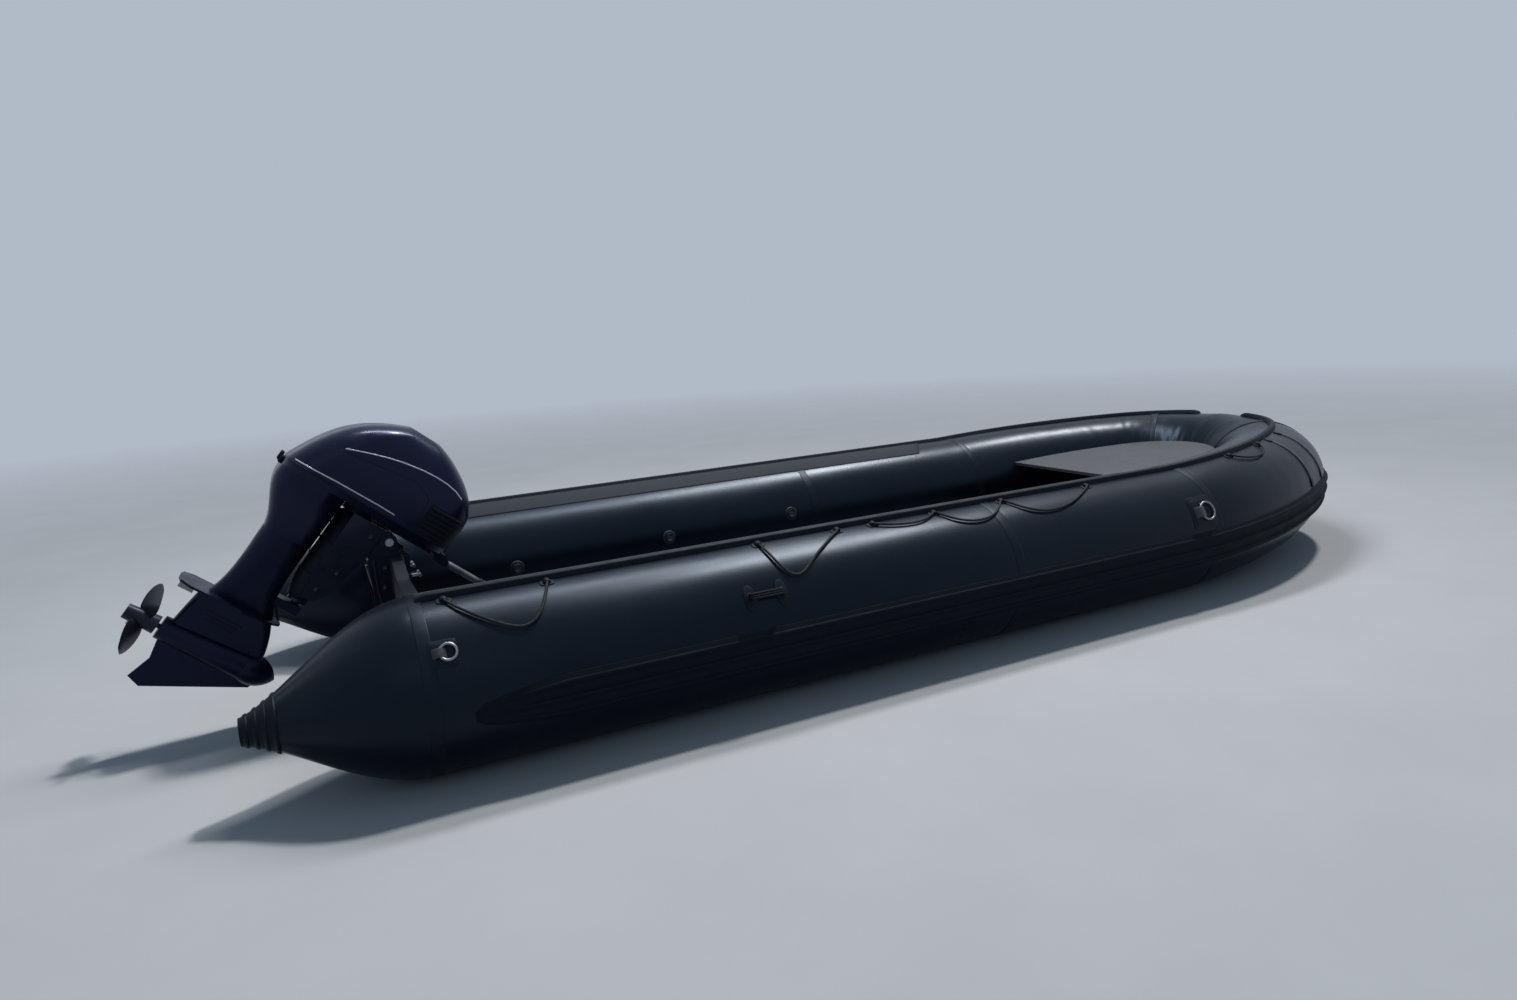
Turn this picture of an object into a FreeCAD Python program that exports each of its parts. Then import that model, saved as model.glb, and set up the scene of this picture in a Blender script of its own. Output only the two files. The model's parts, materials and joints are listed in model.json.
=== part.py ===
import FreeCAD, Part
import math
import os

# Inflatable expedition boat with a tilted outboard motor, lying on hard ground. Millimetres, +X to the bow,
# +Y to port, +Z up. The model is laid out with X = 0 at the tips of the tail cones and Z = 0 on the ground,
# and is moved at the end so that its origin is the middle of the bottom of its whole box.

V = FreeCAD.Vector
X_AXIS = V(1, 0, 0)
Y_AXIS = V(0, 1, 0)
Z_AXIS = V(0, 0, 1)
ORIGIN = V(0, 0, 0)

# Hull: two side tubes that meet in a blunt bow
HULL_LENGTH = 5850.0
TUBE_RADIUS = 305.0
TUBE_OFFSET = 875.0
BOW_LENGTH = 1886.0
STRAIGHT_END = HULL_LENGTH - BOW_LENGTH
SHEER_RADIUS = 3000.0
SHEER_ANGLE = 2.52
NOSE_BEND_RADIUS = 653.0
SEAT_GAP = 0.3

# Tail cones and their ribbed end caps
CONE_LENGTH = 550.0
CONE_TIP_RADIUS = 45.0
CONE_TIP_HEIGHT = 275.0
CONE_FULLNESS = 1.35
CONE_SECTIONS = 5
CAP_LENGTH = 110.0
CAP_RIB_HEIGHT = 6.0
CAP_RIB_WIDTH = 9.0
CAP_RIBS = 4

# Strips, rail and strake that run along the tubes, as angles round the tube from its outboard side
STRIP_THICKNESS = 3.0
STRIP_FROM_ANGLE = 86.5
STRIP_TO_ANGLE = 119.0
STRIP_START = 10.0
STRIP_END = STRAIGHT_END - CONE_LENGTH - 114.0
RAIL_ANGLE = 82.0
RAIL_WIDTH_ANGLE = 6.4
RAIL_HEIGHT = 20.0
RAIL_START = 5.0
RAIL_END_GAP = 260.0
STRAKE_MIDDLE_ANGLE = -8.0
STRAKE_BAND_ANGLE = 30.0
STRAKE_BAND_THICKNESS = 4.0
STRAKE_RIDGE_HEIGHT = 14.0
STRAKE_RIDGE_ANGLE = 3.6
STRAKE_RIDGES = 3
STRAKE_START = 120.0

# Patches, handles, holders and valves on the tubes
PATCH_THICKNESS = 3.0
BLOCK_ROOT = 0.8
HOLDER_ANGLE = 74.8
HOLDER_PATCH_HALF_LENGTH = 26.0
HOLDER_PATCH_HALF_WIDTH = 18.0
HOLDER_HALF_LENGTH = 11.0
HOLDER_HALF_WIDTH = 13.0
HOLDER_HEIGHT = 15.0
LIFT_LUG_HEIGHT = 14.0
LIFT_LUG_HALF_LENGTH = 9.0
LIFT_LUG_SHARE = 0.6
LIFT_LUG_COVER = 2.0
LIFT_BAR_RADIUS = 5.0
HANDLE_ANGLE = 29.5
HANDLE_HALF_LENGTH = 76.0
HANDLE_HALF_WIDTH = 14.0
HANDLE_POST_LENGTH = 24.0
HANDLE_GAP = 17.0
HANDLE_THICKNESS = 6.0
HANDLE_PAD_HALF_LENGTH = 22.0
HANDLE_PAD_HALF_WIDTH = 66.0
VALVE_FLANGE_RADIUS = 36.0
VALVE_FLANGE_THICKNESS = 6.0
VALVE_CAP_RADIUS = 23.0
VALVE_CAP_HEIGHT = 15.0
TOW_PATCH_ANGLE = 28.0
TOW_PATCH_REACH = 90.0
TOW_LUG_HALF_LENGTH = 24.0
TOW_LUG_HALF_WIDTH = 12.0
TOW_LUG_HEIGHT = 18.0
TOW_LUG_COVER = 2.0
TOW_RING_RADIUS = 32.0
TOW_BAR_RADIUS = 6.0
STRAKE_EDGE_GAP = 1.0
STRAP_TO_ANGLE = 78.0
STRAP_WIDTH = 18.0

# Bottom, keel and floor
BOTTOM_SEAM_ANGLE = 244.0
BOTTOM_THICKNESS = 5.0
KEEL_CLEARANCE = 1.0
KEEL_TUBE_END = STRAIGHT_END - 24.0
FABRIC_OVERLAP = 60.0
FLOOR_TOP = 140.0
FLOOR_THICKNESS = 12.0
FLOOR_PANELS = 4
FLOOR_PANEL_GAP = 12.0
FLOOR_END = STRAIGHT_END + 336.0
STRINGER_WIDTH = 34.0
STRINGER_HEIGHT = 42.0
STRINGER_OFFSET = 530.0

# Transom
TRANSOM_X = 555.0
TRANSOM_THICKNESS = 45.0
TRANSOM_TOP = 2 * TUBE_RADIUS
TRANSOM_SHOULDER = TRANSOM_TOP - 50.0
TRANSOM_PAD_HALF_WIDTH = 250.0
PAD_PLATE_THICKNESS = 6.0
PAD_PLATE_HEIGHT = 330.0
PAD_PLATE_HALF_WIDTH = 190.0
DRAIN_RADIUS = 27.0
DRAIN_OFFSET = 400.0
DRAIN_HEIGHT = 190.0
DRAIN_LENGTH = 22.0

# Bow platform, a board that lies between the tubes and rises with them
PLATFORM_START = STRAIGHT_END + 406.0
PLATFORM_LENGTH = 1080.0
PLATFORM_TOP = TUBE_RADIUS + 150.0
PLATFORM_SLOPE = 4.6
PLATFORM_THICKNESS = 18.0

# Outboard motor. Its own frame is upright, with its origin on the tilt axis and E forward, U up.
TILT_X = 565.0
TILT_Z = TRANSOM_TOP + 55.0
REST_TILT = 40.0
STEER_E = -150.0

# Clamp brackets and tilt tube
CLAMP_OFFSET = 95.0
CLAMP_THICKNESS = 12.0
CLAMP_BOSS_RADIUS = 32.0
CLAMP_DROP = 330.0
CLAMP_DEPTH = 80.0
HOOK_REACH = 70.0
HOOK_DROP = 150.0
HOOK_THICKNESS = 22.0
CLAMP_SCREW_RADIUS = 9.0
CLAMP_PAD_RADIUS = 24.0
CLAMP_PAD_THICKNESS = 6.0
CLAMP_HANDLE_LENGTH = 90.0
TILT_TUBE_RADIUS = 16.0
RUNNING_GAP = 0.05

# Swivel bracket
KNUCKLE_RADIUS = 29.0
WEB_OFFSET = 40.0
WEB_THICKNESS = 35.0
SWIVEL_TUBE_RADIUS = 38.0
SWIVEL_TUBE_TOP = 34.0
SWIVEL_TUBE_BOTTOM = -385.0
SWIVEL_PIN_RADIUS = 17.0

# Tilt cylinder, from its lower pin on the clamp brackets to the eye in the swivel bracket
CYLINDER_PIN_X = -40.0
CYLINDER_PIN_Z = -300.0
EYE_E = -70.0
EYE_U = -60.0
CYLINDER_RADIUS = 20.0
CYLINDER_LENGTH = 205.0
ROD_RADIUS = 8.0
ROD_INSIDE = 80.0
BORE_DEPTH = 150.0
EYE_RADIUS = 15.0
EYE_PIN_LENGTH = 70.0

# Cowl and midsection: heights and outlines in the motor's own frame
COWL_HALF_WIDTH = 188.0
COWL_WALL = 5.0
COWL_ROUNDNESS = 0.55
COWL_BOTTOM = 85.0
PAN_BOTTOM = 60.0
STEER_BRACKET_BOTTOM = 46.0
STEER_BRACKET_HALF_WIDTH = 48.0
HOUSING_TOP = -180.0
HOUSING_FRONT = -225.0
PLATE_U = -500.0
PLATE_THICKNESS = 9.0
PROP_AXIS_U = -695.0
PROP_RADIUS = 150.0
PROP_E = -570.0
PROP_BLADES = 3
PROP_HUB_RADIUS = 36.0
PROP_HUB_LENGTH = 118.0
PROP_SHAFT_RADIUS = 10.0
GEAR_NOSE_E = -45.0
GEAR_END_E = -500.0
GEAR_RADIUS = 58.0
STRUT_BACK_E = -468.0
SKEG_TIP_E = -492.0
SKEG_TIP_U = -904.0
SKEG_THICKNESS = 9.0
PLATE_HALF_WIDTH = 105.0
PLATE_BACK_E = -548.0
TAB_LENGTH = 56.0
TAB_HEIGHT = 34.0
TAB_THICKNESS = 10.0

# Tiller
TILLER_PIVOT_E = 252.0
TILLER_PIVOT_U = 30.0
TILLER_LENGTH = 300.0
TILLER_ARM_RADIUS = 14.0
TILLER_GRIP_RADIUS = 18.0
TILLER_GRIP_LENGTH = 130.0
TILLER_PIN_RADIUS = 6.0
TILLER_EAR_INSIDE = 17.0

# Lifelines
ROPE_RADIUS = 5.0
ROPE_STANDOFF = 4.0


def radians(degrees):
    return math.radians(degrees)


# Tube path of the port side and the seats on it, worked out from the sizes above
SHEER_END = STRAIGHT_END + SHEER_RADIUS * math.sin(radians(SHEER_ANGLE))
SHEER_RISE = SHEER_RADIUS * (1 - math.cos(radians(SHEER_ANGLE)))
BOW_REACH = (HULL_LENGTH - TUBE_RADIUS - SHEER_END) / math.cos(radians(SHEER_ANGLE))
QUARTER_RADIUS = (BOW_REACH**2 + TUBE_OFFSET**2 - 2 * BOW_REACH * NOSE_BEND_RADIUS) / (
    2 * (TUBE_OFFSET - NOSE_BEND_RADIUS)
)
QUARTER_ANGLE = math.degrees(math.atan2(BOW_REACH - NOSE_BEND_RADIUS, QUARTER_RADIUS - TUBE_OFFSET))
NOSE_ANGLE = 90.0 - QUARTER_ANGLE
STRAP_FROM_ANGLE = STRAKE_MIDDLE_ANGLE + STRAKE_BAND_ANGLE / 2 + STRAKE_EDGE_GAP
TOW_RING_ANGLE = STRAP_FROM_ANGLE + TOW_PATCH_ANGLE / 2
STEER_BRACKET_TOP = PAN_BOTTOM - SEAT_GAP
FLOOR_LOW = FLOOR_TOP - FLOOR_THICKNESS
FLOOR_HALF_WIDTH = TUBE_OFFSET - SEAT_GAP - math.sqrt(TUBE_RADIUS**2 - (TUBE_RADIUS - FLOOR_TOP) ** 2)
KEEL_TUBE_LOW = KEEL_CLEARANCE + BOTTOM_THICKNESS + SEAT_GAP
KEEL_TUBE_RADIUS = (FLOOR_LOW - SEAT_GAP - KEEL_TUBE_LOW) / 2


def placed(point, rotation=FreeCAD.Rotation()):
    return FreeCAD.Placement(point, rotation)


def tube_segments():
    """The port tube's axis as a list of (length, start placement, centre, axis); a straight has no centre."""
    up_turn = FreeCAD.Rotation(V(0, -1, 0), SHEER_ANGLE)
    down = up_turn.multVec(Z_AXIS) * -1
    quarter_start = V(SHEER_END, TUBE_OFFSET, TUBE_RADIUS + SHEER_RISE)
    quarter_centre = quarter_start + V(0, -QUARTER_RADIUS, 0)
    quarter_turn = FreeCAD.Rotation(down, QUARTER_ANGLE)
    nose_start = quarter_centre + quarter_turn.multVec(quarter_start - quarter_centre)
    inward = (quarter_centre - nose_start).normalize()
    nose_centre = nose_start + inward * NOSE_BEND_RADIUS
    return [
        (STRAIGHT_END - CONE_LENGTH, placed(V(CONE_LENGTH, TUBE_OFFSET, TUBE_RADIUS)), None, None),
        (
            SHEER_RADIUS * radians(SHEER_ANGLE),
            placed(V(STRAIGHT_END, TUBE_OFFSET, TUBE_RADIUS)),
            V(STRAIGHT_END, TUBE_OFFSET, TUBE_RADIUS + SHEER_RADIUS),
            V(0, -1, 0),
        ),
        (QUARTER_RADIUS * radians(QUARTER_ANGLE), placed(quarter_start, up_turn), quarter_centre, down),
        (
            NOSE_BEND_RADIUS * radians(NOSE_ANGLE),
            placed(nose_start, quarter_turn.multiply(up_turn)),
            nose_centre,
            down,
        ),
    ]


SEGMENTS = tube_segments()
BOW_START = SEGMENTS[0][0] + SEGMENTS[1][0]
PATH_LENGTH = sum(segment[0] for segment in SEGMENTS)


def place_at(station):
    """Placement on the port tube's axis, a length of station forward of the cone's base."""
    before = 0.0
    for index, (length, start, centre, axis) in enumerate(SEGMENTS):
        if station <= before + length or index == len(SEGMENTS) - 1:
            along = station - before
            if centre is None:
                return placed(start.Base + X_AXIS * along, start.Rotation)
            radius = (start.Base - centre).Length
            turn = FreeCAD.Rotation(axis, math.degrees(along / radius))
            return placed(centre + turn.multVec(start.Base - centre), turn.multiply(start.Rotation))
        before += length


def along_tube(face, first, last):
    """Sweeps a profile, drawn round the origin in the YZ plane, along the port tube between two stations."""
    pieces = []
    before = 0.0
    for length, start, centre, axis in SEGMENTS:
        low = max(first, before)
        high = min(last, before + length)
        if high - low > 0.01:
            profile = face.copy()
            profile.Placement = place_at(low).multiply(profile.Placement)
            if centre is None:
                pieces.append(profile.extrude(X_AXIS * (high - low)))
            else:
                radius = (start.Base - centre).Length
                pieces.append(profile.revolve(centre, axis, math.degrees((high - low) / radius)))
        before += length
    if len(pieces) == 1:
        return pieces[0]
    return pieces[0].multiFuse(pieces[1:]).removeSplitter()


def ring_point(radius, angle):
    return V(0, radius * math.cos(radians(angle)), radius * math.sin(radians(angle)))


def ring_arc(radius, first, last):
    middle = (first + last) / 2
    return Part.Arc(ring_point(radius, first), ring_point(radius, middle), ring_point(radius, last)).toShape()


def band_face(inner, steps):
    """A profile round the tube: an inner arc, and outer arcs from steps of (from angle, to angle, radius)."""
    edges = [Part.makeLine(ring_point(inner, steps[0][0]), ring_point(steps[0][2], steps[0][0]))]
    for index, (first, last, radius) in enumerate(steps):
        edges.append(ring_arc(radius, first, last))
        following = steps[index + 1][2] if index + 1 < len(steps) else inner
        edges.append(Part.makeLine(ring_point(radius, last), ring_point(following, last)))
    edges.append(ring_arc(inner, steps[-1][1], steps[0][0]))
    return Part.Face(Part.Wire(edges))


def disc(radius, centre=ORIGIN, normal=X_AXIS):
    return Part.Face(Part.Wire(Part.makeCircle(radius, centre, normal)))


def plane_face(points):
    return Part.Face(Part.makePolygon([V(*point) for point in points + points[:1]]))


def plate(outline, low_y, high_y):
    """A plate of an XZ outline between two Y planes."""
    face = plane_face([(x, low_y, z) for x, z in outline])
    return face.extrude(V(0, high_y - low_y, 0))


def box(low, high):
    return Part.makeBox(high[0] - low[0], high[1] - low[1], high[2] - low[2], V(*low))


def rod(radius, start, end):
    direction = end - start
    return Part.makeCylinder(radius, direction.Length, start, direction)


def fused(shapes):
    if len(shapes) == 1:
        return shapes[0]
    return shapes[0].multiFuse(shapes[1:]).removeSplitter()


def starboard(shape):
    return shape.mirror(ORIGIN, Y_AXIS)


def on_tube(shape, station, angle):
    """Seats a piece, modelled with +Z away from the surface at the origin, on the port tube."""
    lift = placed(ring_point(TUBE_RADIUS + SEAT_GAP, angle), FreeCAD.Rotation(X_AXIS, angle - 90))
    seated = shape.copy()
    seated.Placement = place_at(station).multiply(lift).multiply(seated.Placement)
    return seated


def cone_growth(x):
    return math.sin(min(x / CONE_LENGTH, 1.0) * math.pi / 2) ** CONE_FULLNESS


def cone_radius(x):
    return CONE_TIP_RADIUS + (TUBE_RADIUS - CONE_TIP_RADIUS) * cone_growth(x)


def cone_height(x):
    return CONE_TIP_HEIGHT + (TUBE_RADIUS - CONE_TIP_HEIGHT) * cone_growth(x)


def cone_ring(x, extra=0.0):
    return Part.Wire(Part.makeCircle(cone_radius(x) + extra, V(x, TUBE_OFFSET, cone_height(x)), X_AXIS))


def tail_cone():
    step = (CONE_LENGTH - CAP_LENGTH) / (CONE_SECTIONS - 1)
    rings = [cone_ring(CAP_LENGTH + step * index) for index in range(CONE_SECTIONS)]
    return Part.makeLoft(rings, True, False)


def cone_cap():
    pieces = [Part.makeLoft([cone_ring(0), cone_ring(CAP_LENGTH)], True, True)]
    pitch = CAP_LENGTH / CAP_RIBS
    for index in range(CAP_RIBS):
        x = pitch * (index + 0.5)
        ring = disc(cone_radius(x) + CAP_RIB_HEIGHT, V(x, TUBE_OFFSET, cone_height(x)))
        pieces.append(ring.extrude(X_AXIS * CAP_RIB_WIDTH))
    return fused(pieces)


def side_tube():
    return along_tube(disc(TUBE_RADIUS), 0, BOW_START)


def bow_tube():
    return along_tube(disc(TUBE_RADIUS), BOW_START, PATH_LENGTH)


def grip_strip():
    inner = TUBE_RADIUS + SEAT_GAP
    face = band_face(inner, [(STRIP_FROM_ANGLE, STRIP_TO_ANGLE, inner + STRIP_THICKNESS)])
    return along_tube(face, STRIP_START, STRIP_END)


def rail():
    inner = TUBE_RADIUS + SEAT_GAP
    half = RAIL_WIDTH_ANGLE / 2
    shoulder = half * 0.62
    steps = [
        (RAIL_ANGLE - half, RAIL_ANGLE - shoulder, inner + RAIL_HEIGHT * 0.7),
        (RAIL_ANGLE - shoulder, RAIL_ANGLE + shoulder, inner + RAIL_HEIGHT),
        (RAIL_ANGLE + shoulder, RAIL_ANGLE + half, inner + RAIL_HEIGHT * 0.7),
    ]
    return along_tube(band_face(inner, steps), RAIL_START, PATH_LENGTH - RAIL_END_GAP)


def rub_strake():
    inner = TUBE_RADIUS + SEAT_GAP
    band = inner + STRAKE_BAND_THICKNESS
    ridge = inner + STRAKE_RIDGE_HEIGHT
    low = STRAKE_MIDDLE_ANGLE - STRAKE_BAND_ANGLE / 2
    pitch = STRAKE_BAND_ANGLE / STRAKE_RIDGES
    cursor = low
    steps = []
    for index in range(STRAKE_RIDGES):
        middle = low + pitch * (index + 0.5)
        steps.append((cursor, middle - STRAKE_RIDGE_ANGLE / 2, band))
        steps.append((middle - STRAKE_RIDGE_ANGLE / 2, middle + STRAKE_RIDGE_ANGLE / 2, ridge))
        cursor = middle + STRAKE_RIDGE_ANGLE / 2
    steps.append((cursor, low + STRAKE_BAND_ANGLE, band))
    return along_tube(band_face(inner, steps), STRAKE_START, PATH_LENGTH)


def tube_cutters():
    """Both sides' tubes, made larger by the seat's gap, to trim what fits between them."""
    tube = along_tube(disc(TUBE_RADIUS + SEAT_GAP), 0, PATH_LENGTH)
    return [tube, starboard(tube)]


CUTTERS = tube_cutters()


def between_tubes(shape):
    """Trims a piece to the space between the tubes."""
    for tube in CUTTERS:
        shape = shape.cut(tube)
    return min(shape.Solids, key=lambda solid: abs(solid.CenterOfMass.y))


def seam_point(station, overlap=0.0):
    """The point where the bottom fabric meets the port tube, or lies an overlap further out."""
    seam = ring_point(TUBE_RADIUS + SEAT_GAP, BOTTOM_SEAM_ANGLE)
    return place_at(station).multVec(seam + V(0, overlap, 0))


# Bottom sections forward of the straight: share of the bow's length, share of the keel's depth
BOTTOM_BOW_SECTIONS = [(0.0, 1.0), (0.2, 1.0), (0.4, 0.9), (0.6, 0.8), (0.8, 0.6), (0.92, 0.4)]


def bottom_fabric():
    stations = [(TRANSOM_X - CONE_LENGTH, 1.0), (STRAIGHT_END - CONE_LENGTH, 1.0)]
    for share, depth in BOTTOM_BOW_SECTIONS:
        stations.append((BOW_START + share * (PATH_LENGTH - BOW_START), depth))
    sections = []
    for station, depth in stations:
        edge = seam_point(station, FABRIC_OVERLAP)
        keel_z = edge.z - depth * (seam_point(0).z - KEEL_CLEARANCE)
        under = [(edge.x, edge.y, edge.z), (edge.x, 0, keel_z), (edge.x, -edge.y, edge.z)]
        over = [(x, y, z + BOTTOM_THICKNESS) for x, y, z in reversed(under)]
        points = under + over
        sections.append(Part.makePolygon([V(*point) for point in points + points[:1]]))
    return between_tubes(Part.makeLoft(sections, True, True))


def keel_tube():
    start = V(TRANSOM_X + TRANSOM_THICKNESS + 15, 0, KEEL_TUBE_LOW + KEEL_TUBE_RADIUS)
    end = V(KEEL_TUBE_END, 0, start.z)
    tube = rod(KEEL_TUBE_RADIUS, start, end)
    nose = Part.makeSphere(KEEL_TUBE_RADIUS, end)
    return tube.fuse(nose).removeSplitter()


def floor_panels():
    start = TRANSOM_X + TRANSOM_THICKNESS + 20
    length = (FLOOR_END - start - FLOOR_PANEL_GAP * (FLOOR_PANELS - 1)) / FLOOR_PANELS
    panels = []
    for index in range(FLOOR_PANELS):
        low_x = start + index * (length + FLOOR_PANEL_GAP)
        panel = box(
            (low_x, -FLOOR_HALF_WIDTH, FLOOR_LOW),
            (low_x + length, FLOOR_HALF_WIDTH, FLOOR_TOP),
        )
        panels.append(between_tubes(panel))
    return Part.makeCompound(panels)


def floor_stringer():
    start = TRANSOM_X + TRANSOM_THICKNESS + 60
    low = (start, STRINGER_OFFSET - STRINGER_WIDTH / 2, FLOOR_TOP)
    high = (FLOOR_END - 120, STRINGER_OFFSET + STRINGER_WIDTH / 2, FLOOR_TOP + STRINGER_HEIGHT)
    return box(low, high)


def transom():
    seam = seam_point(0)
    half = seam.y
    outline = [
        (0, KEEL_CLEARANCE + BOTTOM_THICKNESS + SEAT_GAP),
        (half, seam.z + BOTTOM_THICKNESS + SEAT_GAP),
        (half, TRANSOM_SHOULDER),
        (TRANSOM_PAD_HALF_WIDTH + 120, TRANSOM_SHOULDER),
        (TRANSOM_PAD_HALF_WIDTH, TRANSOM_TOP),
    ]
    points = [(TRANSOM_X, y, z) for y, z in outline]
    points += [(TRANSOM_X, -y, z) for y, z in reversed(outline[1:])]
    board = plane_face(points).extrude(X_AXIS * TRANSOM_THICKNESS)
    board = between_tubes(board)
    for side in (-1, 1):
        start = V(TRANSOM_X - 1, side * DRAIN_OFFSET, DRAIN_HEIGHT)
        board = board.cut(rod(DRAIN_RADIUS, start, start + X_AXIS * (TRANSOM_THICKNESS + 2)))
    return board


def transom_drains():
    tubes = []
    for side in (-1, 1):
        start = V(TRANSOM_X - DRAIN_LENGTH, side * DRAIN_OFFSET, DRAIN_HEIGHT)
        collar = rod(DRAIN_RADIUS + 14, start, start + X_AXIS * DRAIN_LENGTH)
        bore = rod(DRAIN_RADIUS, start - X_AXIS, start + X_AXIS * (DRAIN_LENGTH + 1))
        tubes.append(collar.cut(bore))
    return Part.makeCompound(tubes)


def transom_pad():
    x = TRANSOM_X + TRANSOM_THICKNESS
    low = (x, -PAD_PLATE_HALF_WIDTH, TRANSOM_TOP - PAD_PLATE_HEIGHT)
    high = (x + PAD_PLATE_THICKNESS, PAD_PLATE_HALF_WIDTH, TRANSOM_TOP)
    return box(low, high)


def bow_platform():
    board = box(
        (0, -TUBE_OFFSET, -PLATFORM_THICKNESS),
        (PLATFORM_LENGTH, TUBE_OFFSET, 0),
    )
    board.rotate(ORIGIN, V(0, -1, 0), PLATFORM_SLOPE)
    board.translate(V(PLATFORM_START, 0, PLATFORM_TOP))
    return between_tubes(board)


def tube_patch(station, angle, half_length, half_width, thickness):
    """A patch glued to the tube, bent to its curve."""
    inner = TUBE_RADIUS + SEAT_GAP
    half_angle = math.degrees(half_width / TUBE_RADIUS)
    face = band_face(inner, [(angle - half_angle, angle + half_angle, inner + thickness)])
    return along_tube(face, station - half_length, station + half_length)


def round_patch(station, angle, radius, thickness):
    square = tube_patch(station, angle, radius * 1.1, radius * 1.1, thickness)
    cutter = rod(radius, Z_AXIS * -radius, Z_AXIS * radius)
    return square.common(on_tube(cutter, station, angle))


def block_on_tube(half_length, half_width, height, station, angle):
    """A block rooted in the patch under it."""
    block = box((-half_length, -half_width, BLOCK_ROOT), (half_length, half_width, height))
    return on_tube(block, station, angle)


# Stations of the holders that the lifeline loops hang from
HOLDER_STATIONS = [92.0, 436.0, 1250.0, 1600.0, 1768.0, 2072.0, 2430.0, 2925.0, 3922.0, 4244.0]


def rope_holders():
    pieces = []
    for station in HOLDER_STATIONS:
        patch = tube_patch(
            station, HOLDER_ANGLE, HOLDER_PATCH_HALF_LENGTH, HOLDER_PATCH_HALF_WIDTH, PATCH_THICKNESS
        )
        block = block_on_tube(HOLDER_HALF_LENGTH, HOLDER_HALF_WIDTH, HOLDER_HEIGHT, station, HOLDER_ANGLE)
        pieces.append(fused([patch, block]))
    return Part.makeCompound(pieces)


# Lifting rings on each tube: station, angle, half size of the patch, radius of the ring
LIFT_RINGS = [(52.0, 34.0, 46.0, 27.0), (BOW_START - 86.0, 25.0, 80.0, 42.0)]


def lifting_ring(station, angle, radius, bar):
    """A ring that lies against the tube, held by its after side."""
    centre = V(radius / 2, 0, LIFT_LUG_HEIGHT - LIFT_BAR_RADIUS)
    return on_tube(Part.makeTorus(radius, bar, centre, Z_AXIS), station, angle)


def lifting_rings():
    return Part.makeCompound(
        [lifting_ring(station, angle, radius, LIFT_BAR_RADIUS) for station, angle, half, radius in LIFT_RINGS]
    )


def ring_patches():
    """The rings' patches, each with a lug that the ring runs through."""
    pieces = []
    for station, angle, half, radius in LIFT_RINGS:
        patch = tube_patch(station, angle, half, half, PATCH_THICKNESS)
        bar_x = -radius / 2
        reach = radius * LIFT_LUG_SHARE
        low = (bar_x - LIFT_LUG_HALF_LENGTH, -reach, BLOCK_ROOT)
        high = (bar_x + LIFT_LUG_HALF_LENGTH, reach, LIFT_LUG_HEIGHT + LIFT_LUG_COVER)
        lug = on_tube(box(low, high), station, angle)
        channel = lifting_ring(station, angle, radius, LIFT_BAR_RADIUS + SEAT_GAP)
        pieces.append(fused([patch, lug]).cut(channel))
    return Part.makeCompound(pieces)


# Carrying handles on each tube: stations
CARRY_HANDLES = [1182.0]


def handle_patches():
    pieces = []
    for station in CARRY_HANDLES:
        for end in (-1, 1):
            middle = station + end * (HANDLE_HALF_LENGTH - HANDLE_POST_LENGTH / 2)
            patch = tube_patch(
                middle, HANDLE_ANGLE, HANDLE_PAD_HALF_LENGTH, HANDLE_PAD_HALF_WIDTH, PATCH_THICKNESS
            )
            pieces.append(patch)
    return Part.makeCompound(pieces)


def carry_handles():
    """A strap with a post at each end, standing on the patches."""
    pieces = []
    low = PATCH_THICKNESS + SEAT_GAP
    top = low + HANDLE_GAP + HANDLE_THICKNESS
    for station in CARRY_HANDLES:
        outer = HANDLE_HALF_LENGTH
        inner = HANDLE_HALF_LENGTH - HANDLE_POST_LENGTH
        solids = [
            box((-outer, -HANDLE_HALF_WIDTH, low), (-inner, HANDLE_HALF_WIDTH, top)),
            box((inner, -HANDLE_HALF_WIDTH, low), (outer, HANDLE_HALF_WIDTH, top)),
            box((-outer, -HANDLE_HALF_WIDTH, low + HANDLE_GAP), (outer, HANDLE_HALF_WIDTH, top)),
        ]
        pieces.append(on_tube(fused(solids), station, HANDLE_ANGLE))
    return Part.makeCompound(pieces)


# Air valves on each tube's inboard side: station, angle
VALVES = [(640.0, 178.0), (1450.0, 173.0), (2190.0, 169.0)]


def valves():
    pieces = []
    cap = rod(VALVE_CAP_RADIUS, Z_AXIS * BLOCK_ROOT, Z_AXIS * VALVE_CAP_HEIGHT)
    for station, angle in VALVES:
        flange = round_patch(station, angle, VALVE_FLANGE_RADIUS, VALVE_FLANGE_THICKNESS)
        pieces.append(fused([flange, on_tube(cap, station, angle)]))
    return Part.makeCompound(pieces)


def round_nose(face, reach):
    """Revolves a profile round the nose, from a reach before its middle to the same reach past it."""
    length, start, centre, axis = SEGMENTS[-1]
    profile = face.copy()
    profile.Placement = place_at(PATH_LENGTH - reach).multiply(profile.Placement)
    return profile.revolve(centre, axis, math.degrees(2 * reach / NOSE_BEND_RADIUS))


def towing_ring(bar):
    """A ring that hangs down from its lug on the nose."""
    centre = V(0, TOW_RING_RADIUS, TOW_LUG_HEIGHT - TOW_LUG_COVER - TOW_BAR_RADIUS)
    return on_tube(Part.makeTorus(TOW_RING_RADIUS, bar, centre, Z_AXIS), PATH_LENGTH, TOW_RING_ANGLE)


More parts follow.
